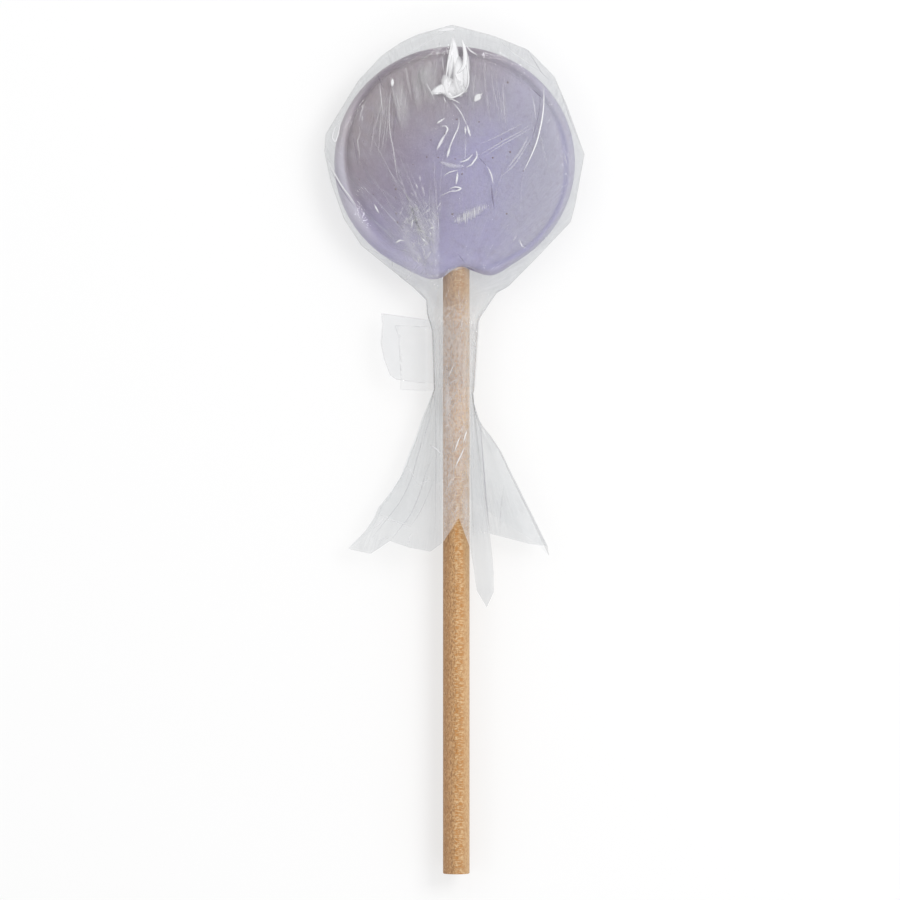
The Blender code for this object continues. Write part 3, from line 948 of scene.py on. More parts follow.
hem_corners = np.array([*TAIL_HEM, TAIL_HEM[0]])
hem_lengths = np.linalg.norm(np.diff(hem_corners[:, :3], axis=0), axis=1)
hem_marks = np.concatenate([[0.0], np.cumsum(hem_lengths)])
hem_places = np.linspace(0.0, hem_marks[-1], FILM_COLUMNS, endpoint=False)
HEM = np.stack([np.interp(hem_places, hem_marks, hem_corners[:, k]) for k in range(4)], axis=1)
HEM_ANGLES = np.unwrap(np.arctan2(HEM[:, 2], HEM[:, 0] - STICK_X))
EVEN_ANGLES = HEM_ANGLES[0] + np.linspace(0, 2 * math.pi, FILM_COLUMNS, endpoint=False)
FRONT_HEM = hem_marks[FIRST_FRONT_CORNER]
print(f"the edge of the tails is {hem_marks[-1]:.0f} mm round")


def film_height(x, y, shown):
    """Height of the sheet over the disc, above or below its middle plane."""
    radius = np.hypot(x, y)
    height = np.where(shown, FACE_HALF_THICKNESS + FILM_GAP + PAD_RISE * 1.1, FACE_HALF_THICKNESS + FILM_GAP)
    height = height + SHEET_OUT
    start = np.where(shown, SHOWN_FLAT_RADIUS, BACK_FLAT_RADIUS)
    reach = np.interp(np.arctan2(y, x), REACH_TURNS, REACHES)
    roundness = np.maximum(2.0, 2.2 + (33.0 - reach) * 0.22)
    share = np.clip((radius - start) / (reach - start), 0.0, 1.0)
    return height * (1 - share**roundness) ** (1 / roundness)


def onto_tail_edges(tails):
    """Moves the outer film of the tails sideways, so that it ends on the drawn edges."""
    for edge in TAIL_EDGES:
        levels = np.array([y for y, _ in edge])
        paths = [np.interp(-levels, -column[:, 1], column[:, 0]) for column in tails.swapaxes(0, 1)]
        side = math.copysign(1.0, edge[0][1])
        now = (np.array(paths) * side).max(axis=0) * side
        x, y = tails[..., 0], tails[..., 1]
        outermost = np.interp(-y, -levels, now)
        shift = np.interp(-y, -levels, [x for _, x in edge] - now)
        shift = shift * smooth_step(levels[-1] - 3.0, levels[-1], y)
        share = (x * side - STICK_RADIUS) / (outermost * side - STICK_RADIUS)
        tails[..., 0] = x + shift * smooth_step(0.3, 1.0, share)
    return tails


def film_rows():
    """The smooth sheet, before it is wrinkled: rows from the top of the head to the tails' edge."""
    cap = FILM_TOP[1] - CAP_GAP - (1 - np.cos(np.linspace(0.0, math.pi / 2, CAP_ROWS))) * CAP_FALL
    head = np.concatenate([cap, np.linspace(cap[-1], NECK_BLEND[1], HEAD_ROWS - CAP_ROWS)[1:]])
    neck = np.linspace(NECK_BLEND[1], NECK_END_Y, NECK_ROWS)[1:]
    rows = []
    for y in np.concatenate([head, neck]):
        left, right = float(outline_x(FILM_LEFT, y)), float(outline_x(FILM_RIGHT, y))
        middle, half = (left + right) / 2, (right - left) / 2
        gathered = float(smooth_step(-NECK_BLEND[0], -NECK_BLEND[1], -y))
        turn = mix(mix(EVEN_ANGLES, HEM_ANGLES, 0.35), HEM_ANGLES, gathered)
        x = middle + half * np.cos(turn)
        bag = np.sign(np.sin(turn)) * film_height(x, np.full_like(x, y), np.sin(turn) > 0)
        sleeve = (NECK_HALF_HEIGHT + 0.11) * np.sin(turn)
        rows.append(np.stack([x, np.full_like(x, y), mix(bag, sleeve, gathered)], axis=1))
    last = rows[-1]
    for step in range(1, TAIL_ROWS + 1):
        share = step / TAIL_ROWS
        spread = share ** HEM[:, 3]
        x = mix(last[:, 0], HEM[:, 0], spread)
        z = mix(last[:, 2], HEM[:, 2], spread)
        rows.append(np.stack([x, mix(last[:, 1], HEM[:, 1], share), z], axis=1))
    rows = np.array(rows)
    rows[-TAIL_ROWS:] = onto_tail_edges(rows[-TAIL_ROWS:])
    return rows


smooth_film = film_rows()
print("film grid:", smooth_film.shape[0], "rows of", smooth_film.shape[1])

# %% [markdown]
# ## Folds
# The sheet is folded by rule. In the neck and the tails folds run along the columns: many small ones where
# the sheet is gathered, fewer and larger ones in the tails. Over the disc they fan out from the neck and
# die away. All of them stand out from the smooth sheet, so none of them cuts into what it wraps.

# %% Folded film
NECK_POINT = (STICK_X - 0.5, -33.0)
LYING_Z = (cad_low[2] - MIDDLE.z) / MM + 0.02
TIP_GAP = 0.08
# how many folds there are round the sheet, and their height in mm
NECK_FOLDS = ((17, 0.20), (26, 0.13), (41, 0.07))
TAIL_FOLDS = ((3, 0.22), (7, 0.13), (13, 0.05))


def ridged(value):
    """A wave with sharp crests: 0 in the valleys and 1 on the crests."""
    return 1 - np.abs(np.sin(value))


def grid_normals(grid):
    round_it = np.roll(grid, -1, axis=1) - np.roll(grid, 1, axis=1)
    down_it = np.gradient(grid, axis=0)
    normal = np.cross(round_it, down_it)
    return normal / np.maximum(np.linalg.norm(normal, axis=2, keepdims=True), 1e-9)


def neck_and_tail_folds(rows, columns):
    """Height of the folds along the columns, and how gathered each row is."""
    draw = random.Random(23)
    turn = np.linspace(0, 2 * math.pi, columns, endpoint=False)[None, :]
    row = np.arange(rows)[:, None]
    neck_end = HEAD_ROWS + NECK_ROWS
    gathered = smooth_step(HEAD_ROWS * 0.72, HEAD_ROWS, row) * (1 - smooth_step(neck_end, neck_end + 40, row))
    in_tails = smooth_step(neck_end - 6, neck_end + 20, row)
    out = np.zeros((rows, columns))
    for count, size in NECK_FOLDS:
        drift = draw.uniform(-0.3, 0.3) * row / 40.0
        out += gathered * size * ridged(turn * count / 2 + draw.uniform(0, 6) + drift)
    for count, size in TAIL_FOLDS:
        sway = 0.25 * np.sin(row / draw.uniform(14.0, 26.0) + draw.uniform(0, 6))
        out += in_tails * size * ridged(turn * count / 2 + draw.uniform(0, 6) + sway) ** 1.5
    return out, gathered * np.ones_like(out)


def head_folds(x, y):
    """Height of the folds that fan out from the neck over the disc."""
    lean = np.arctan2(x - NECK_POINT[0], y - NECK_POINT[1])
    far = np.hypot(x - NECK_POINT[0], y - NECK_POINT[1])
    wide = ridged(lean * 9.0 + 0.5 * np.sin(far * 0.16)) ** 3 * smooth_step(50.0, 12.0, far)
    narrow = ridged(lean * 19.0 + 0.7 * np.sin(far * 0.23 + 2.0)) ** 3 * smooth_step(34.0, 6.0, far)
    from_top = ridged(x * 0.42 + 0.4 * np.sin(y * 0.3)) ** 3 * smooth_step(8.0, 22.0, y)
    inside = smooth_step(31.0, 26.0, np.hypot(x, y))
    return (0.16 * wide + 0.10 * narrow + 0.10 * from_top) * inside


def folded(grid):
    """The sheet with its folds, and how milky it is at each point."""
    x, y = grid[..., 0], grid[..., 1]
    folds, gathered = neck_and_tail_folds(*grid.shape[:2])
    moved = grid + grid_normals(grid) * (folds + head_folds(x, y))[..., None]
    moved[..., 2] = np.maximum(moved[..., 2], LYING_Z)
    return moved, haze_of(x, y, gathered, 1 - np.abs(grid_normals(moved)[..., 2]))


def haze_of(x, y, gathered, steep):
    """How milky the sheet is: where it is gathered, crushed or layered. Its steep sides stay clear."""
    off_stick = np.abs(x - STICK_X)
    near_stick = smooth_step(3.55, 3.15, off_stick)
    by_stick = smooth_step(8.0, 3.5, off_stick) * smooth_step(-28.0, -42.0, y)
    crushed = smooth_step(-2.6, -4.6, x) * smooth_step(-7.0, -17.0, y) * smooth_step(19.0, 10.0, np.abs(x))
    crushed = crushed * smooth_step(-31.0, -27.0, y)
    front = smooth_step(FRONT_HEM + 0.5, FRONT_HEM, hem_places)
    strip = smooth_step(3.4, 3.9, x) * smooth_step(6.3, 6.0, x + (62.2 + y) * 0.0815)
    strip = strip * smooth_step(-90.0, -86.0, y)
    tails = mix(front * (0.25 + 0.24 * strip) - (1 - front) * 0.12, 0.02, near_stick)
    in_tails = smooth_step(-55.0, -66.0, y)
    haze = 0.20 * by_stick * mix(1.0, near_stick, in_tails) + 0.03 * gathered
    haze = haze + 0.14 * crushed + in_tails * tails
    clearer = steep**2 * smooth_step(-30.0, -40.0, y) * smooth_step(3.3, 3.5, off_stick)
    return haze - clearer * (haze + 0.10)


folded_film, haze = folded(smooth_film)
film = grid_mesh("film_wrapper", folded_film, first=(FILM_TOP[0], FILM_TOP[1] - TIP_GAP, 0.0))
add_number(film.data, "haze", [*haze.ravel(), 0.0])
print(f"folds raise the film by up to {np.abs(folded_film - smooth_film).max():.2f} mm")

# %% [markdown]
# Clear film shows by three things: it takes a little of the light that passes, it mirrors the room at a
# slant, and it is milky where it is crushed. So the shader lets light straight through with a slight tint,
# mixes in a thin pale body by the haze, and puts a mirror on top that grows with the slant. Over the dowel
# noise breaks the haze up, because the film there is rubbed. Refraction is left out: in so thin a sheet it
# moves nothing.


# %% Film material
FILM_TINT = (0.965, 0.971, 0.974)
FILM_BODY = (0.50, 0.515, 0.54)
MILKY_BODY = (0.76, 0.76, 0.77)
TAIL_BODY = (0.40, 0.41, 0.425)
EDGE_MIRROR = 0.66
SOFT_EDGE_MIRROR = 0.16


class SheetTree(MaterialTree):
    """The tree of a thin clear material."""

    def sheet(self, tint, haze, body_colour, gloss, rough, normal, soft_edge=0.0):
        """Clear, with a share of haze, under a mirror that grows with the slant, less at a soft edge."""
        clear = self.node("ShaderNodeBsdfTransparent", inputs={"Color": tint})
        body = self.principled(Base_Color=body_colour, Roughness=0.3, Normal=normal)
        inner = self.node("ShaderNodeMixShader", inputs={0: haze, 1: clear, 2: body})
        slant = self.node("ShaderNodeLayerWeight", inputs={"Blend": 0.5, "Normal": normal}, output="Facing")
        mirror = self.node("ShaderNodeBsdfGlossy", inputs={"Roughness": rough, "Normal": normal})
        skin = slant**5.0 * (EDGE_MIRROR - soft_edge * (EDGE_MIRROR - SOFT_EDGE_MIRROR)) + gloss
        return self.node("ShaderNodeMixShader", inputs={0: skin, 1: inner, 2: mirror})


def film_material():
    tree = SheetTree("clear_film")
    place = tree.place()
    x, y, z = tree.axes(place)
    from_neck_x, from_neck_y = x - NECK_POINT[0], y - NECK_POINT[1]
    fan = from_neck_x.math("ARCTAN2", from_neck_y)
    far = (from_neck_x * from_neck_x + from_neck_y * from_neck_y).math("SQRT")
    fan_place = tree.from_axes(fan * 46.0, far * 0.055, z * 0.12)
    ridges = 1.0 - abs(tree.noise(fan_place, 1.0, 3.0, 0.6) - 0.5) * 9.0
    ridges = ridges.math("MAXIMUM", 0.0) * tree.step(tree.noise(place, 0.09, 2.0), 0.42, 0.62)
    crumple = tree.noise(tree.spread(place, 2.5, 0.25), 0.42, 3.0, 0.55)
    cloudy = tree.step(tree.noise(tree.place((1.0, 0.35, 1.0)), 0.3, 3.0, 0.6), 0.45, 0.75)
    beside_stick = abs(x - STICK_X)
    rough_film = tree.noise(tree.place((1.0, 0.6, 1.0)), 1.5, 3.0, 0.65) - 0.5
    over_stick = tree.step(beside_stick, 3.3, 3.0) * tree.step(y, -29.0, -33.0) * tree.step(z, 0.0, 1.0)
    layers = tree.number("haze") + rough_film * over_stick * 0.45
    lean = x * 0.0015 + y * 0.0006
    haze_amount = (layers + lean + 0.10 + ridges * 0.08 + cloudy * 0.05).math("MAXIMUM", 0.0)
    tail = tree.step(y, -50.0, -60.0)
    spread = tail * tree.step(beside_stick, 3.1, 3.6)
    milky = tree.step(layers, 0.03, 0.20) * (1.0 - spread)
    body = tree.coats(FILM_BODY, (milky, MILKY_BODY), (spread, TAIL_BODY))
    shader = tree.sheet(
        FILM_TINT, haze_amount, body,
        gloss=0.055 - tail * 0.035,
        rough=tail * 0.12 + 0.08,
        normal=tree.bump(crumple + ridges * 0.22, 0.25, 0.5),
        soft_edge=tree.step(y, -30.0, -40.0),
    )
    return tree.finish(shader)


hand_over(film, film_material(), "film")

# %% [markdown]
# ## Creases
# Stiff film turns white along a sharp crease, and bends the light beside it into a dark line. Each crease
# is a path drawn over the film. Geometry Nodes drops the path onto the sheet, stands it up along the
# sheet's normal and sweeps a low ridge along it. The white ridges are partly that whitening and partly
# painted highlights, and the dark lines are painted shade. The crisp creases are listed one by one, and
# the finest ones are drawn by rule: they fan out from the neck, run down from the top, lie crushed at the
# lower left and are strewn over the dowel. Paths of WIDE_CREASE and more become flat, soft streaks.

# %% Crease paths
# (half width in mm, whiteness, pixels); a whiteness below 0 makes a dark line of painted shade, and some
# white paths are painted highlights
CREASES = (
    (0.22, 1.5, ((543, 87), (543.5, 98), (543, 110), (541, 124), (537, 141), (533, 152), (528, 163),
                 (523.5, 172))),
    (0.20, -0.3, ((539.5, 92), (539.5, 104), (538, 116), (535, 129), (531, 143), (526, 156))),
    (0.20, -0.6, ((532, 90), (537, 95), (541.5, 99))),
    (0.22, 1.6, ((325, 156), (328, 160), (334, 172), (342, 186), (350, 197), (357, 207))),
    (0.20, -0.4, ((330, 168), (338, 183), (347, 197), (355, 208))),
    (0.26, 1.5, ((340, 122), (335, 130), (333, 139), (335.5, 142.5), (338, 137), (340, 128), (340.5, 122))),
    # a painted highlight
    (0.50, 1.8, ((392.8, 80), (392.4, 88))),
    (0.18, 0.55, ((391.5, 90), (390, 105), (389.5, 124), (391, 138), (393.5, 150), (396, 168), (398, 179),
                  (401.5, 185))),
    (0.26, 0.9, ((399, 181), (402, 185))),
    (0.18, 0.6, ((379.5, 84), (381, 95), (382, 106), (383.5, 117))),
    (0.16, 0.55, ((396, 93), (398, 104), (400, 112))),
    (0.16, 0.55, ((366, 102), (362, 112), (359.5, 122))),
    (0.16, 0.5, ((359, 125), (360.5, 134), (358, 142), (359.5, 152), (360, 160))),
    # a painted highlight
    (0.36, 1.6, ((362.6, 117.5), (362.6, 122))),
    (0.18, 0.7, ((425, 82), (428, 88), (431, 93), (435, 102))),
    (0.16, 0.5, ((442, 56), (443, 66), (444, 74))),
    (1.9, 0.30, ((399, 69), (399, 84), (401.5, 106), (407, 138))),
    (0.5, 0.24, ((391, 75), (393, 90), (398, 112), (402, 128))),
    (1.3, 0.27, ((414, 64), (416, 84), (421, 118))),
    (0.5, 0.22, ((406, 67), (408, 82), (412, 100))),
    (2.6, 0.12, ((384, 80), (381, 106), (383, 134))),
    (3.0, 0.26, ((434, 57), (430, 78), (431, 112))),
    (0.9, 0.24, ((425, 61), (423, 76), (425, 94))),
    (1.2, 0.24, ((430, 57), (428, 70), (427, 90))),
    (0.9, 0.20, ((421, 59), (420, 72), (421, 92))),
    (2.8, 0.18, ((470, 62), (474, 90), (480, 118))),
    # a broad painted sheen along the edge of the pad
    (1.3, 0.30, ((450, 223), (464, 218), (477, 212), (490, 205))),
    (1.2, 0.28, ((412, 196), (420, 224), (428, 252), (433, 274))),
    (1.0, 0.24, ((398, 226), (410, 246), (424, 264), (432, 276))),
    (0.8, 0.26, ((430, 180), (434, 210), (434, 240), (435, 270))),
    # a painted highlight where the film goes over the lip by the dowel, then painted shade in the notch
    (0.50, 0.30, ((443, 277.5), (450, 271.5), (459, 268.8), (466, 268.5))),
    (0.26, -0.9, ((467, 268), (471, 269.5), (474, 271.5))),
    (0.34, 1.0, ((436.5, 125), (441, 122), (445, 119.5))),
    (0.32, 1.0, ((435.8, 128), (436.2, 130.5))),
    (0.28, 1.0, ((441, 127.5), (446, 127.3), (447.8, 130), (444.5, 138))),
    (0.46, 1.0, ((445, 136), (441, 143), (437, 151))),
    (0.24, 0.95, ((459, 119), (458.5, 128), (454, 138), (450, 148), (447.5, 158))),
    (0.40, 1.0, ((450, 148), (447, 158.8))),
    (0.20, 0.8, ((452, 103), (458, 110), (463, 118), (467, 128))),
    (0.38, 1.0, ((467, 126), (468.5, 132), (470.5, 138))),
    (0.28, 1.0, ((465, 127), (465.5, 136))),
    (0.16, 0.45, ((466, 138), (465.5, 150), (465, 162))),
    (0.30, 1.0, ((476, 152), (477, 157), (474.5, 161.5), (471, 166), (466, 168.5))),
    (0.26, 0.9, ((473, 155), (467, 161), (459, 163.5))),
    (0.70, 0.4, ((464, 167), (452, 167), (440, 163))),
    (0.38, 1.0, ((457.6, 173), (457, 179), (456, 185.5))),
    (0.26, 1.0, ((449, 190.5), (455, 188), (461, 189.5), (456, 192), (449, 192.5))),
    (0.20, 0.8, ((443, 178), (449, 173.5), (459, 171))),
    (0.16, 0.6, ((440, 197), (448, 193.5), (456, 190))),
    (0.34, 0.40, ((528, 137), (521, 151), (513, 162), (506, 171))),
    (0.20, 0.45, ((530, 140), (522, 154), (512, 168), (500, 178))),
    (0.22, -0.30, ((395, 94), (397, 104), (396, 118), (394, 130), (393.5, 142))),
    (0.18, -0.35, ((353, 138), (356, 148), (357, 158), (359, 168))),
    (0.30, -0.22, ((378, 76), (381, 84), (384, 90))),
    (0.50, -0.16, ((362, 160), (368, 176), (373, 186))),
    (0.16, 0.5, ((532, 96), (534, 108), (535.5, 122))),
    # a painted highlight
    (0.22, 0.9, ((480, 98), (482.5, 93.5))),
    (0.28, 1.0, ((374.5, 205), (377, 210), (379.5, 214.5))),
    (0.36, 0.9, ((395.5, 244), (400, 241), (405, 241.5))),
    (0.32, 1.0, ((417, 244.5), (421.5, 244.5))),
    (0.30, 1.0, ((421, 238), (424, 241), (426.5, 243.5))),
    (0.26, 0.9, ((429, 230), (432, 229), (435, 227.5))),
    (0.28, 0.9, ((430, 232), (431, 237))),
    (0.28, 0.8, ((413, 219), (411.5, 229))),
    (0.24, 0.9, ((410, 210), (413.5, 213.5))),
    (0.22, 0.8, ((415.5, 184), (418, 190))),
    (0.20, 0.7, ((439, 239), (440, 242))),
    (0.16, 0.5, ((563, 153), (565, 160), (566.5, 166))),
    (0.18, -0.35, ((527, 50), (533, 60), (541, 73), (548, 80))),
    (0.18, 0.4, ((499, 40), (508, 50), (524, 62), (541, 73))),
    (0.18, -0.35, ((556, 81), (562, 98), (570, 121), (580, 147))),
    (0.22, 0.6, ((465, 45), (471, 52), (479, 57.5))),
    # a painted highlight on the top edge of the film
    (0.70, 1.6, ((438, 31.5), (446, 30.5), (455, 30))),
    (0.30, 0.8, ((417, 33.5), (421.5, 35.5))),
    (0.28, 1.0, ((439, 44), (439.5, 47))),
    (0.18, 0.5, ((446, 32), (430, 42), (410, 54), (392, 66))),
    # painted highlights and painted shade along the edge of the pad
    (0.26, 0.9, ((487, 167.5), (490, 173), (492, 179), (493, 185))),
    (0.20, -0.5, ((478, 158), (483, 163), (487, 168))),
    (0.26, -0.8, ((491, 186), (492, 195), (493, 203), (494, 210))),
    (0.18, -0.5, ((458.4, 255.5), (462, 260), (465, 264))),
    (0.14, 0.14, ((524, 174), (521.5, 190), (520.5, 208), (519, 226))),
    (0.22, 0.7, ((519, 240), (522, 247), (526, 249))),
    (0.16, 0.5, ((512, 243), (517, 235))),
    (0.16, 0.5, ((532, 124), (520, 133), (505, 141), (490, 150), (478, 157))),
    (0.16, 0.45, ((533, 128), (516, 138), (500, 147), (484, 158))),
    (0.14, 0.4, ((527, 122), (510, 131), (492, 140), (476, 147))),
    (0.18, 0.7, ((454.5, 361), (453, 367), (450, 373), (448, 378))),
    (0.16, 0.65, ((458, 379), (452, 382), (449, 386))),
    (0.16, 0.5, ((453, 393), (449, 400), (444, 406))),
    (0.16, 0.7, ((445, 428), (447, 425.5), (450, 425))),
    (0.26, 1.0, ((461, 435.5), (458.5, 440), (456.5, 446), (454.5, 451.5))),
    (0.26, 1.0, ((467, 430), (465, 436), (463, 443))),
    (0.26, 1.0, ((464.5, 447), (461.5, 454), (458, 461), (455, 468))),
    (0.20, 0.9, ((452.5, 468.5), (456, 469))),
    (0.16, 0.5, ((453, 478), (449, 484), (446.5, 490))),
    (0.26, 0.9, ((460.3, 331), (461, 335))),
    (0.16, 0.4, ((466, 384), (464, 392), (464, 404))),
    (0.16, 0.45, ((462, 398), (457, 402))),
    (0.16, 0.5, ((452, 311), (446, 318))),
    (0.16, 0.45, ((465, 421), (461, 430), (457, 434))),
    (0.18, -0.18, ((435, 400), (428, 425), (419, 452), (411, 480), (400, 502), (388, 518), (372, 538))),
    (0.18, -0.18, ((434, 455), (427, 470), (421, 490), (412, 512), (402, 526), (391, 540))),
    (0.16, -0.16, ((434, 480), (428, 495), (420, 512), (410, 527))),
    (0.18, 0.5, ((380, 515), (395, 521), (411, 527))),
    (0.20, 0.8, ((408, 466), (413, 475), (417, 483))),
    (0.22, 0.7, ((418, 485), (424, 482.5), (430, 480))),
    (0.24, 0.8, ((374, 528), (379, 524), (384.5, 518.5))),
    (0.22, 0.7, ((379, 540.5), (384, 538.5), (389, 538))),
    (0.22, 0.7, ((407.5, 547), (409, 540), (411, 533))),
    (0.24, 0.9, ((430, 445), (436, 448.5), (442, 455))),
    (0.20, -0.3, ((480, 423), (483, 460), (486, 500), (489.5, 533))),
    (0.16, -0.16, ((504, 486), (500.5, 510), (500, 533))),
    (0.16, -0.2, ((435, 330), (434.5, 380), (436, 430), (436, 480), (435, 532))),
    (0.14, 0.35, ((439.5, 320), (440, 400), (440, 480), (440, 535))),
    (0.14, 0.35, ((472, 400), (473, 440), (474, 480))),
    (0.9, 0.38, ((447, 368), (447.5, 400), (447, 436))),
    (0.9, 0.32, ((465, 476), (466, 506), (466, 538))),
)
# the bright patch at the top, a painted highlight on the crumpled film: a white foot and two prongs with a
# dark slot between them
GLINT = (
    (1.0, 1.1, ((453.5, 44), (451.5, 58), (449.5, 80))),
    (2.3, 0.9, ((446, 88), (454, 90), (464, 91))),
    (1.9, 1.15, ((458, 58), (459, 76), (460, 98))),
    (1.1, 1.15, ((465, 50), (466, 66), (465, 93))),
    (1.5, 0.95, ((450, 80), (457, 87), (467, 93))),
    (1.9, 1.2, ((445, 76), (448, 87), (452, 101))),
    (1.35, 1.5, ((431, 94.8), (439, 91.3), (448, 88), (458, 87))),
    (1.5, 1.3, ((438, 91.5), (448, 92), (461, 92.5))),
    (1.0, 1.3, ((453, 38), (454.5, 50), (456, 62), (456.5, 76))),
    (0.26, 1.4, ((452, 42), (449.5, 56), (447.5, 68), (446, 81))),
    (0.20, 0.9, ((452, 56), (450.5, 66), (449.5, 76), (449, 84))),
    (0.62, 1.5, ((461.8, 40.5), (464.4, 50), (465.2, 60), (463, 69), (457, 75))),
    (0.28, 1.1, ((465.5, 50), (466.5, 64), (468.5, 78), (467.5, 88), (463, 94.5))),
    (0.22, 0.8, ((455, 76), (458, 84), (461, 92))),
    (0.30, 1.2, ((446, 97.5), (452, 98.8), (459, 96.5), (466, 91.5))),
    (0.24, 1.2, ((432.5, 93.8), (437, 95.2), (441, 93.5))),
    (0.18, 1.0, ((443.5, 97), (444.5, 101), (446.5, 104.5))),
    (0.18, 0.8, ((449, 99.5), (455, 102), (460.5, 105))),
    (0.22, 0.9, ((465.5, 46), (470, 52), (478, 57))),
    (0.95, 1.7, ((474.5, 102.5), (477, 99.5), (480.5, 95.5))),
)
# painted sheen where the film lies rippled on the edge of the pad: short white strokes side by side between
# two pixels
SHEEN_STROKE_COUNT = 34
SHEEN_ENDS = ((455.5, 222), (486.5, 207))
FAN_CREASES = 110
TOP_CREASES = 60
CRUSHED_CREASES = 110
NECK_CREASES = 70
# the film lies smooth over the pad, between these two x and below this y
PAD_CLEAR = (-3.4, 5.6, -14.0)
PATH_STEP = 0.6
WIDE_CREASE = 0.8
PATHS_END_Y = -95.0
CREASE_START = 20.0  # height over the middle from which the paths are dropped


def path_of(pixels):
    return curve_through([seen(*pixel) for pixel in pixels], PATH_STEP)


def sheen_strokes():
    """Short white strokes side by side: a painted sheen where the film lies rippled on the edge of the pad.
    """
    draw = random.Random(3)
    (x0, y0), (x1, y1) = SHEEN_ENDS
    for k in range(SHEEN_STROKE_COUNT):
        share = k / (SHEEN_STROKE_COUNT - 1)
        x, y = mix(x0, x1, share) + draw.uniform(-0.7, 0.7), mix(y0, y1, share) + draw.uniform(-1.5, 1.5)
        long = (2.5 + 4.0 * math.sin(math.pi * share)) * draw.uniform(0.6, 1.2)
        line = path_of(((x + 0.05 * long, y + long), (x, y), (x - 0.1 * long, y - long)))
        yield draw.uniform(0.12, 0.22), draw.uniform(0.20, 0.75), line


def along_ray(lean, far):
    """The place that far from the neck, in a direction that leans from straight up."""
    return NECK_POINT[0] + far * math.sin(lean), NECK_POINT[1] + far * math.cos(lean)


def stroke(x, y, turn, length):
    return curve_through([(x, y), (x + length * math.cos(turn), y + length * math.sin(turn))], PATH_STEP)


def fine_creases():
    """Thin creases by rule: (half width, whiteness, points in mm)."""
    draw = random.Random(5)
    for _ in range(FAN_CREASES):
        lean = draw.gauss(-0.19, 0.24)
        start, length = draw.uniform(2.0, 20.0), draw.uniform(6.0, 30.0)
        bend = draw.uniform(-0.22, 0.22)
        line = [along_ray(lean + bend * t, start + length * t) for t in (0, 0.25, 0.5, 0.75, 1)]
        line = curve_through(line, PATH_STEP)
        x, y = line.T
        over_pad = (x > PAD_CLEAR[0]) & (x < PAD_CLEAR[1]) & (y < PAD_CLEAR[2])
        if not over_pad.any():
            yield draw.uniform(0.10, 0.22), draw.uniform(0.08, 0.30), line
    for k in range(TOP_CREASES):
        x = draw.uniform(-20.0, 22.0) if k % 3 else draw.uniform(4.0, 12.0)
        top, length = 26.5 - x * x / 30.0 - draw.uniform(0.0, 6.0), draw.uniform(4.0, 14.0)
        drift = x * 0.10 + draw.uniform(-0.8, 1.0)
        line = [(x, top), (x + drift * 0.4, top - length / 2), (x + drift, top - length)]
        yield draw.uniform(0.10, 0.16), draw.uniform(0.12, 0.34), curve_through(line, PATH_STEP)
    for _ in range(CRUSHED_CREASES):
        x, y = draw.gauss(-8.0, 3.0), draw.gauss(-18.0, 5.5)
        turn, length = draw.gauss(math.pi / 2, 0.8), draw.uniform(0.8, 3.2)
        if x < PAD_CLEAR[0]:
            yield draw.uniform(0.12, 0.42), draw.uniform(0.12, 0.50), stroke(x, y, turn, length)
    for _ in range(NECK_CREASES):
        x, y = STICK_X + draw.uniform(-2.8, 2.8), draw.uniform(-84.0, -30.0)
        turn, length = math.pi / 2 + draw.gauss(-0.25, 0.3), draw.uniform(1.2, 5.0)
        yield draw.uniform(0.10, 0.20), draw.uniform(0.15, 0.50), stroke(x, y, turn, length)


def crease_guides():
    """Narrow and wide paths as edges above the film."""
    drawn = [(half, white, path_of(pixels), 0.3) for half, white, pixels in CREASES]
    drawn += [(half, white, path_of(pixels), 0.0) for half, white, pixels in GLINT]
    drawn += [(*crease, 0.5) for crease in sheen_strokes()] + [(*crease, 1.0) for crease in fine_creases()]
    narrow = [path_run(*crease, 1.0) for crease in drawn if crease[0] < WIDE_CREASE]
    wide = [path_run(*crease, 4.0) for crease in drawn if crease[0] >= WIDE_CREASE]
    return guide_mesh("narrow_paths", narrow), guide_mesh("wide_paths", wide)


def path_run(half, white, line, wear, softness):
    """A path over the film, tapered at its ends. Its points carry half width, whiteness and wear."""
    line = line[line[:, 1] > PATHS_END_Y]
    taper = np.sin(np.pi * np.clip(np.linspace(0.0, 1.0, len(line)), 0.03, 0.97)) ** 0.4
    fade = taper ** (softness if wear else 1.0)
    carried = {"half_width": half * taper * MM, "whiteness": white * fade, "worn": wear}
    return [placed(x, y, CREASE_START) for x, y in line], carried


narrow_guide, wide_guide = crease_guides()
print(len(narrow_guide.vertices), "points on narrow paths and", len(wide_guide.vertices), "on wide ones")

# %% Creases on the film
CREASE_SPACING = 0.25
# steepness of the ridge and lift over the sheet, in mm
NARROW_RIDGE = (0.7, 0.06)
WIDE_RIDGE = (0.06, 0.03)
CREASE_TINT = (0.99, 0.99, 0.99)
PAINTED_DARK_LINE = (0.16, 0.14, 0.20)
WHITE_CREASE_AND_HIGHLIGHT = (0.70, 0.70, 0.715)


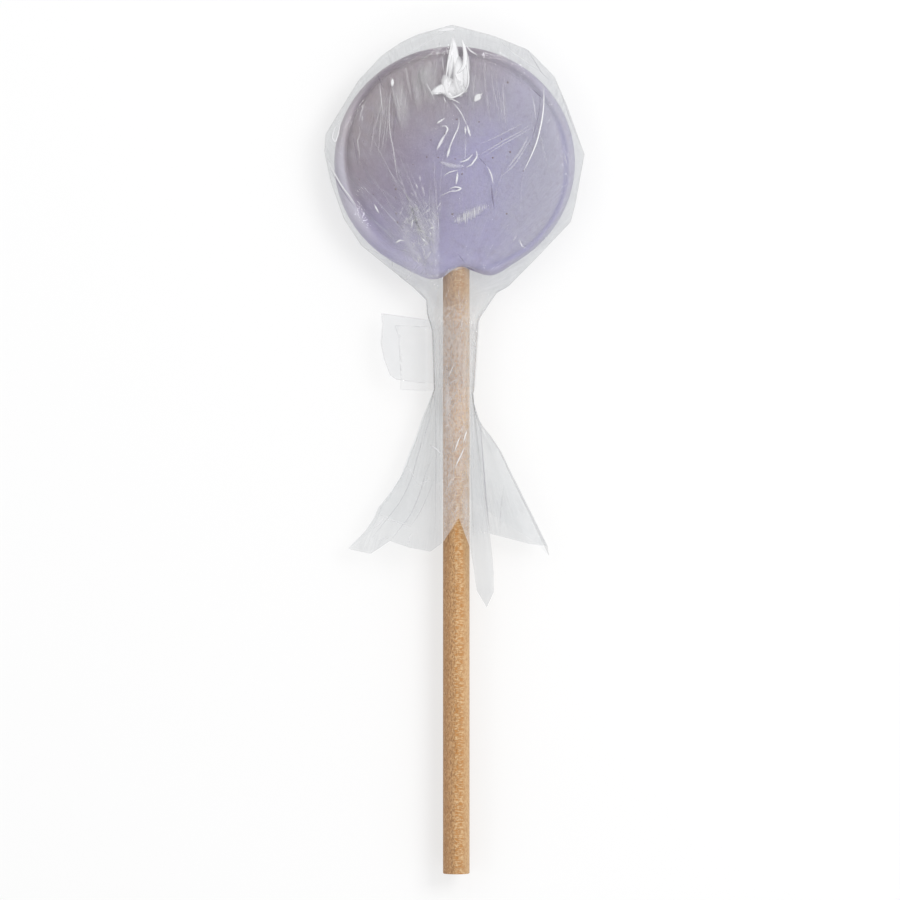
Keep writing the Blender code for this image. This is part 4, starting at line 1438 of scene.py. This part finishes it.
def crease_tree():
    """Ridges on a sheet, along paths above it."""
    tree = ShapeTree("creases", Sheet="Object", Spacing="Float", Steepness="Float", Lift="Float")
    given = tree.given
    paths = tree.node("GeometryNodeMeshToCurve", inputs={0: given["Guide"]})
    inputs = {"Curve": paths, "Length": given["Spacing"]}
    even = tree.node("GeometryNodeResampleCurve", {"mode": "LENGTH"}, inputs)
    sheet = tree.node("GeometryNodeObjectInfo", inputs={0: given["Sheet"]}, output="Geometry")
    inputs = {"Target Geometry": sheet, "Ray Direction": (0.0, 0.0, -1.0), "Ray Length": 0.1}
    hit = tree.node("GeometryNodeRaycast", inputs=inputs, output="Is Hit")
    normal = hit.beside("Hit Normal")
    missed = tree.node("FunctionNodeBooleanMath", {"operation": "NOT"}, {0: hit})
    inputs = {"Geometry": even, "Selection": missed}
    trimmed = tree.node("GeometryNodeDeleteGeometry", {"domain": "POINT"}, inputs)
    inputs = {
        "Geometry": tree.store("up", "FLOAT_VECTOR", trimmed, normal),
        "Position": hit.beside("Hit Position"),
        "Offset": tree.scaled(normal, given["Lift"]),
    }
    landed = tree.node("GeometryNodeSetPosition", inputs=inputs)
    inputs = {"Curve": landed, "Normal": tree.named("up", "FLOAT_VECTOR")}
    upright = tree.node("GeometryNodeSetCurveNormal", {"mode": "FREE"}, inputs)
    peak = tree.from_axes(given["Steepness"], 0.0, 0.0)
    inputs = {"Resolution": 4, "Start": (0.0, -1.0, 0.0), "Middle": peak, "End": (0.0, 1.0, 0.0)}
    ridge = tree.node("GeometryNodeCurveQuadraticBezier", inputs=inputs)
    _, across, _ = tree.axes(tree.node("GeometryNodeInputPosition"))
    return tree.finish(tree.sweep(upright, tree.store("across", "FLOAT", ridge, across), "half_width"))


def crease_material():
    """White or dark along the middle of the ridge and clear at its edges."""
    tree = SheetTree("creased_film")
    crease_mark, across, worn = tree.number("whiteness"), tree.number("across"), tree.number("worn")
    soft = (1.0 - across * across) ** 1.3
    gaps = tree.step(tree.noise(tree.place((1.0, 0.6, 1.0)), 1.9, 3.0, 0.65), 0.58, 0.34) * 0.65
    haze_amount = (abs(crease_mark) * soft * (1.0 - gaps * worn)).math("MINIMUM", 0.96)
    # painted: the dark lines stand for shade, the white ones for whitened creases and painted highlights
    colour = tree.coats(PAINTED_DARK_LINE, (tree.step(crease_mark, -0.02, 0.02), WHITE_CREASE_AND_HIGHLIGHT))
    normal = tree.bump(tree.noise(tree.place(), 1.5, 2.0, 0.6), 0.2, 0.6)
    return tree.finish(tree.sheet(CREASE_TINT, haze_amount, colour, 0.0, 0.1, normal))


def lay_creases(name, guide, sheet, material, ridge=NARROW_RIDGE):
    steepness, lift = ridge
    settings = {
        "Sheet": sheet, "Spacing": CREASE_SPACING * MM, "Steepness": steepness, "Lift": lift * MM,
        "Finish": material,
    }
    made = crease_tree().grow(name, guide, **settings)
    hand_over(made, material, None)
    return made


creased = crease_material()
creases = lay_creases("film_creases", narrow_guide, film, creased)
lay_creases("film_streaks", wide_guide, film, creased, WIDE_RIDGE)
upward = np.mean([polygon.normal.z > 0 for polygon in creases.data.polygons])
print(f"{upward:.0%} of the faces of the creases look up")

# %% [markdown]
# ## Tape
# A strip of clear tape goes once round the neck, and its two ends are pressed together on the left. They
# miss each other by 3 mm, so both edges of each layer show. The strip is one grid: its columns run along
# the strip, round the dowel and back.

# %% Tape
TAPE_WIDTH = 15.2
TAPE_LONG_ROOT_Y = -37.6
TAPE_SHORT_ROOT_Y = -39.3
# rise of each flag for each mm to the left
LONG_TILT = 0.136
SHORT_TILT = 0.045
FLAG_PARTING = 0.12
GLUE_HAZE = 0.27
FLAG_ROOT_X = -6.4
TAPE_OUT_AT_SIDES = 0.55
TAPE_OUT_ON_TOP = 0.85
TAPE_ROWS = 40
NECK_STEPS = 90
FLAG_STEPS = 24
RETURN_ANGLE = math.radians(24)
TAPE_TINT = (0.98, 0.982, 0.985)
TAPE_BODY = (0.55, 0.56, 0.58)
TAPE_EDGE_HALF_WIDTH = 0.13
TAPE_EDGE_WHITENESS = -0.12
# (share of the tape's width, x) of the cut ends
LONG_END = ((0.0, -17.5), (0.17, -17.2), (0.47, -17.6), (0.72, -16.8), (0.95, -15.4), (1.0, -13.9))
SHORT_END = ((0.0, -14.3), (0.2, -13.3), (0.85, -12.8), (1.0, -12.9))


def tape_grid():
    """Points of the strip by column, and how milky each is: the glue shows where one layer lies alone."""
    flag = [("flag", k / FLAG_STEPS, 1) for k in range(FLAG_STEPS)]
    loop = [("neck", k / NECK_STEPS, 0) for k in range(NECK_STEPS + 1)]
    back = [("flag", 1 - k / FLAG_STEPS, -1) for k in range(1, FLAG_STEPS + 1)]
    down = np.linspace(0.0, 1.0, TAPE_ROWS + 1)
    columns, milky = [], []
    for place, share, side in flag + loop + back:
        alone = np.zeros_like(down)
        if place == "neck":
            y = mix(TAPE_LONG_ROOT_Y, TAPE_SHORT_ROOT_Y, share) - down * TAPE_WIDTH
            angle = mix(math.pi - RETURN_ANGLE, RETURN_ANGLE - math.pi, share)
            left = outline_x(FILM_LEFT, y) - TAPE_OUT_AT_SIDES
            right = outline_x(FILM_RIGHT, y) + TAPE_OUT_AT_SIDES
            x = (left + right) / 2 + (right - left) / 2 * math.cos(angle)
            z = np.full_like(y, (NECK_HALF_HEIGHT + TAPE_OUT_ON_TOP) * math.sin(angle))
            z = z + 0.03 * np.sin(y * 0.83 + angle * 3.0 + 1.1 * np.sin(y * 0.51))
        else:
            end = LONG_END if side > 0 else SHORT_END
            root, tilt = (TAPE_LONG_ROOT_Y, LONG_TILT) if side > 0 else (TAPE_SHORT_ROOT_Y, SHORT_TILT)
            tip = np.interp(down, *np.transpose(end))
            x = mix(tip, FLAG_ROOT_X, share)
            y = root + (FLAG_ROOT_X - x) * tilt - down * TAPE_WIDTH
            if side > 0:
                short_tip = np.interp(down, *np.transpose(SHORT_END))
                short_top = TAPE_SHORT_ROOT_Y + (FLAG_ROOT_X - x) * SHORT_TILT
                alone = np.where((x < short_tip) | (y > short_top), GLUE_HAZE, 0.0)
            bow = 0.35 * np.sin(down * math.pi) * (1 - share) + 0.25 * (1 - share) ** 2
            z = side * FLAG_PARTING + bow + 0.06 * np.sin(x * 1.3 + y * 0.8)
        columns.append(np.stack([x, y, z], axis=1))
        milky.append(alone)
    return np.array(columns), np.array(milky)


def tape_material():
    tree = SheetTree("clear_tape")
    normal = tree.bump(tree.noise(tree.place(), 0.25, 2.0, 0.5), 0.2, 0.4)
    return tree.finish(tree.sheet(TAPE_TINT, tree.number("haze") + 0.02, TAPE_BODY, 0.04, 0.1, normal, 1.0))


def edge_guide(grid):
    """The cut edges of the tape's flag: both sides of each layer, and its two ends."""
    layers = slice(0, FLAG_STEPS), slice(-FLAG_STEPS, None)
    sides = [grid[layer, row] for layer in layers for row in (0, -1)]
    carried = {"half_width": TAPE_EDGE_HALF_WIDTH * MM, "whiteness": TAPE_EDGE_WHITENESS}
    runs = [[placed(x, y, CREASE_START) for x, y, _ in run[::2]] for run in (*sides, grid[0], grid[-1])]
    return guide_mesh("tape_edge_paths", [(run, carried) for run in runs])


tape_points, tape_haze = tape_grid()
tape = grid_mesh("tape_strip", tape_points, closed=False)
add_number(tape.data, "haze", tape_haze.ravel())
hand_over(tape, tape_material(), "tape")
lay_creases("tape_edges", edge_guide(tape_points), tape, creased)

# %% [markdown]
# ## Size
# The dressed lollipop is meant to fill the same box as the solids. Both boxes are printed.

# %% Size and finish
visual_low, visual_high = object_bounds()
boxes = {
    "cad": [list(cad_low), list(cad_high)],
    "visual": [list(visual_low), list(visual_high)],
}
for name, (low, high) in boxes.items():
    print(name, [round((h - l) / MM, 2) for l, h in zip(low, high)], "mm")
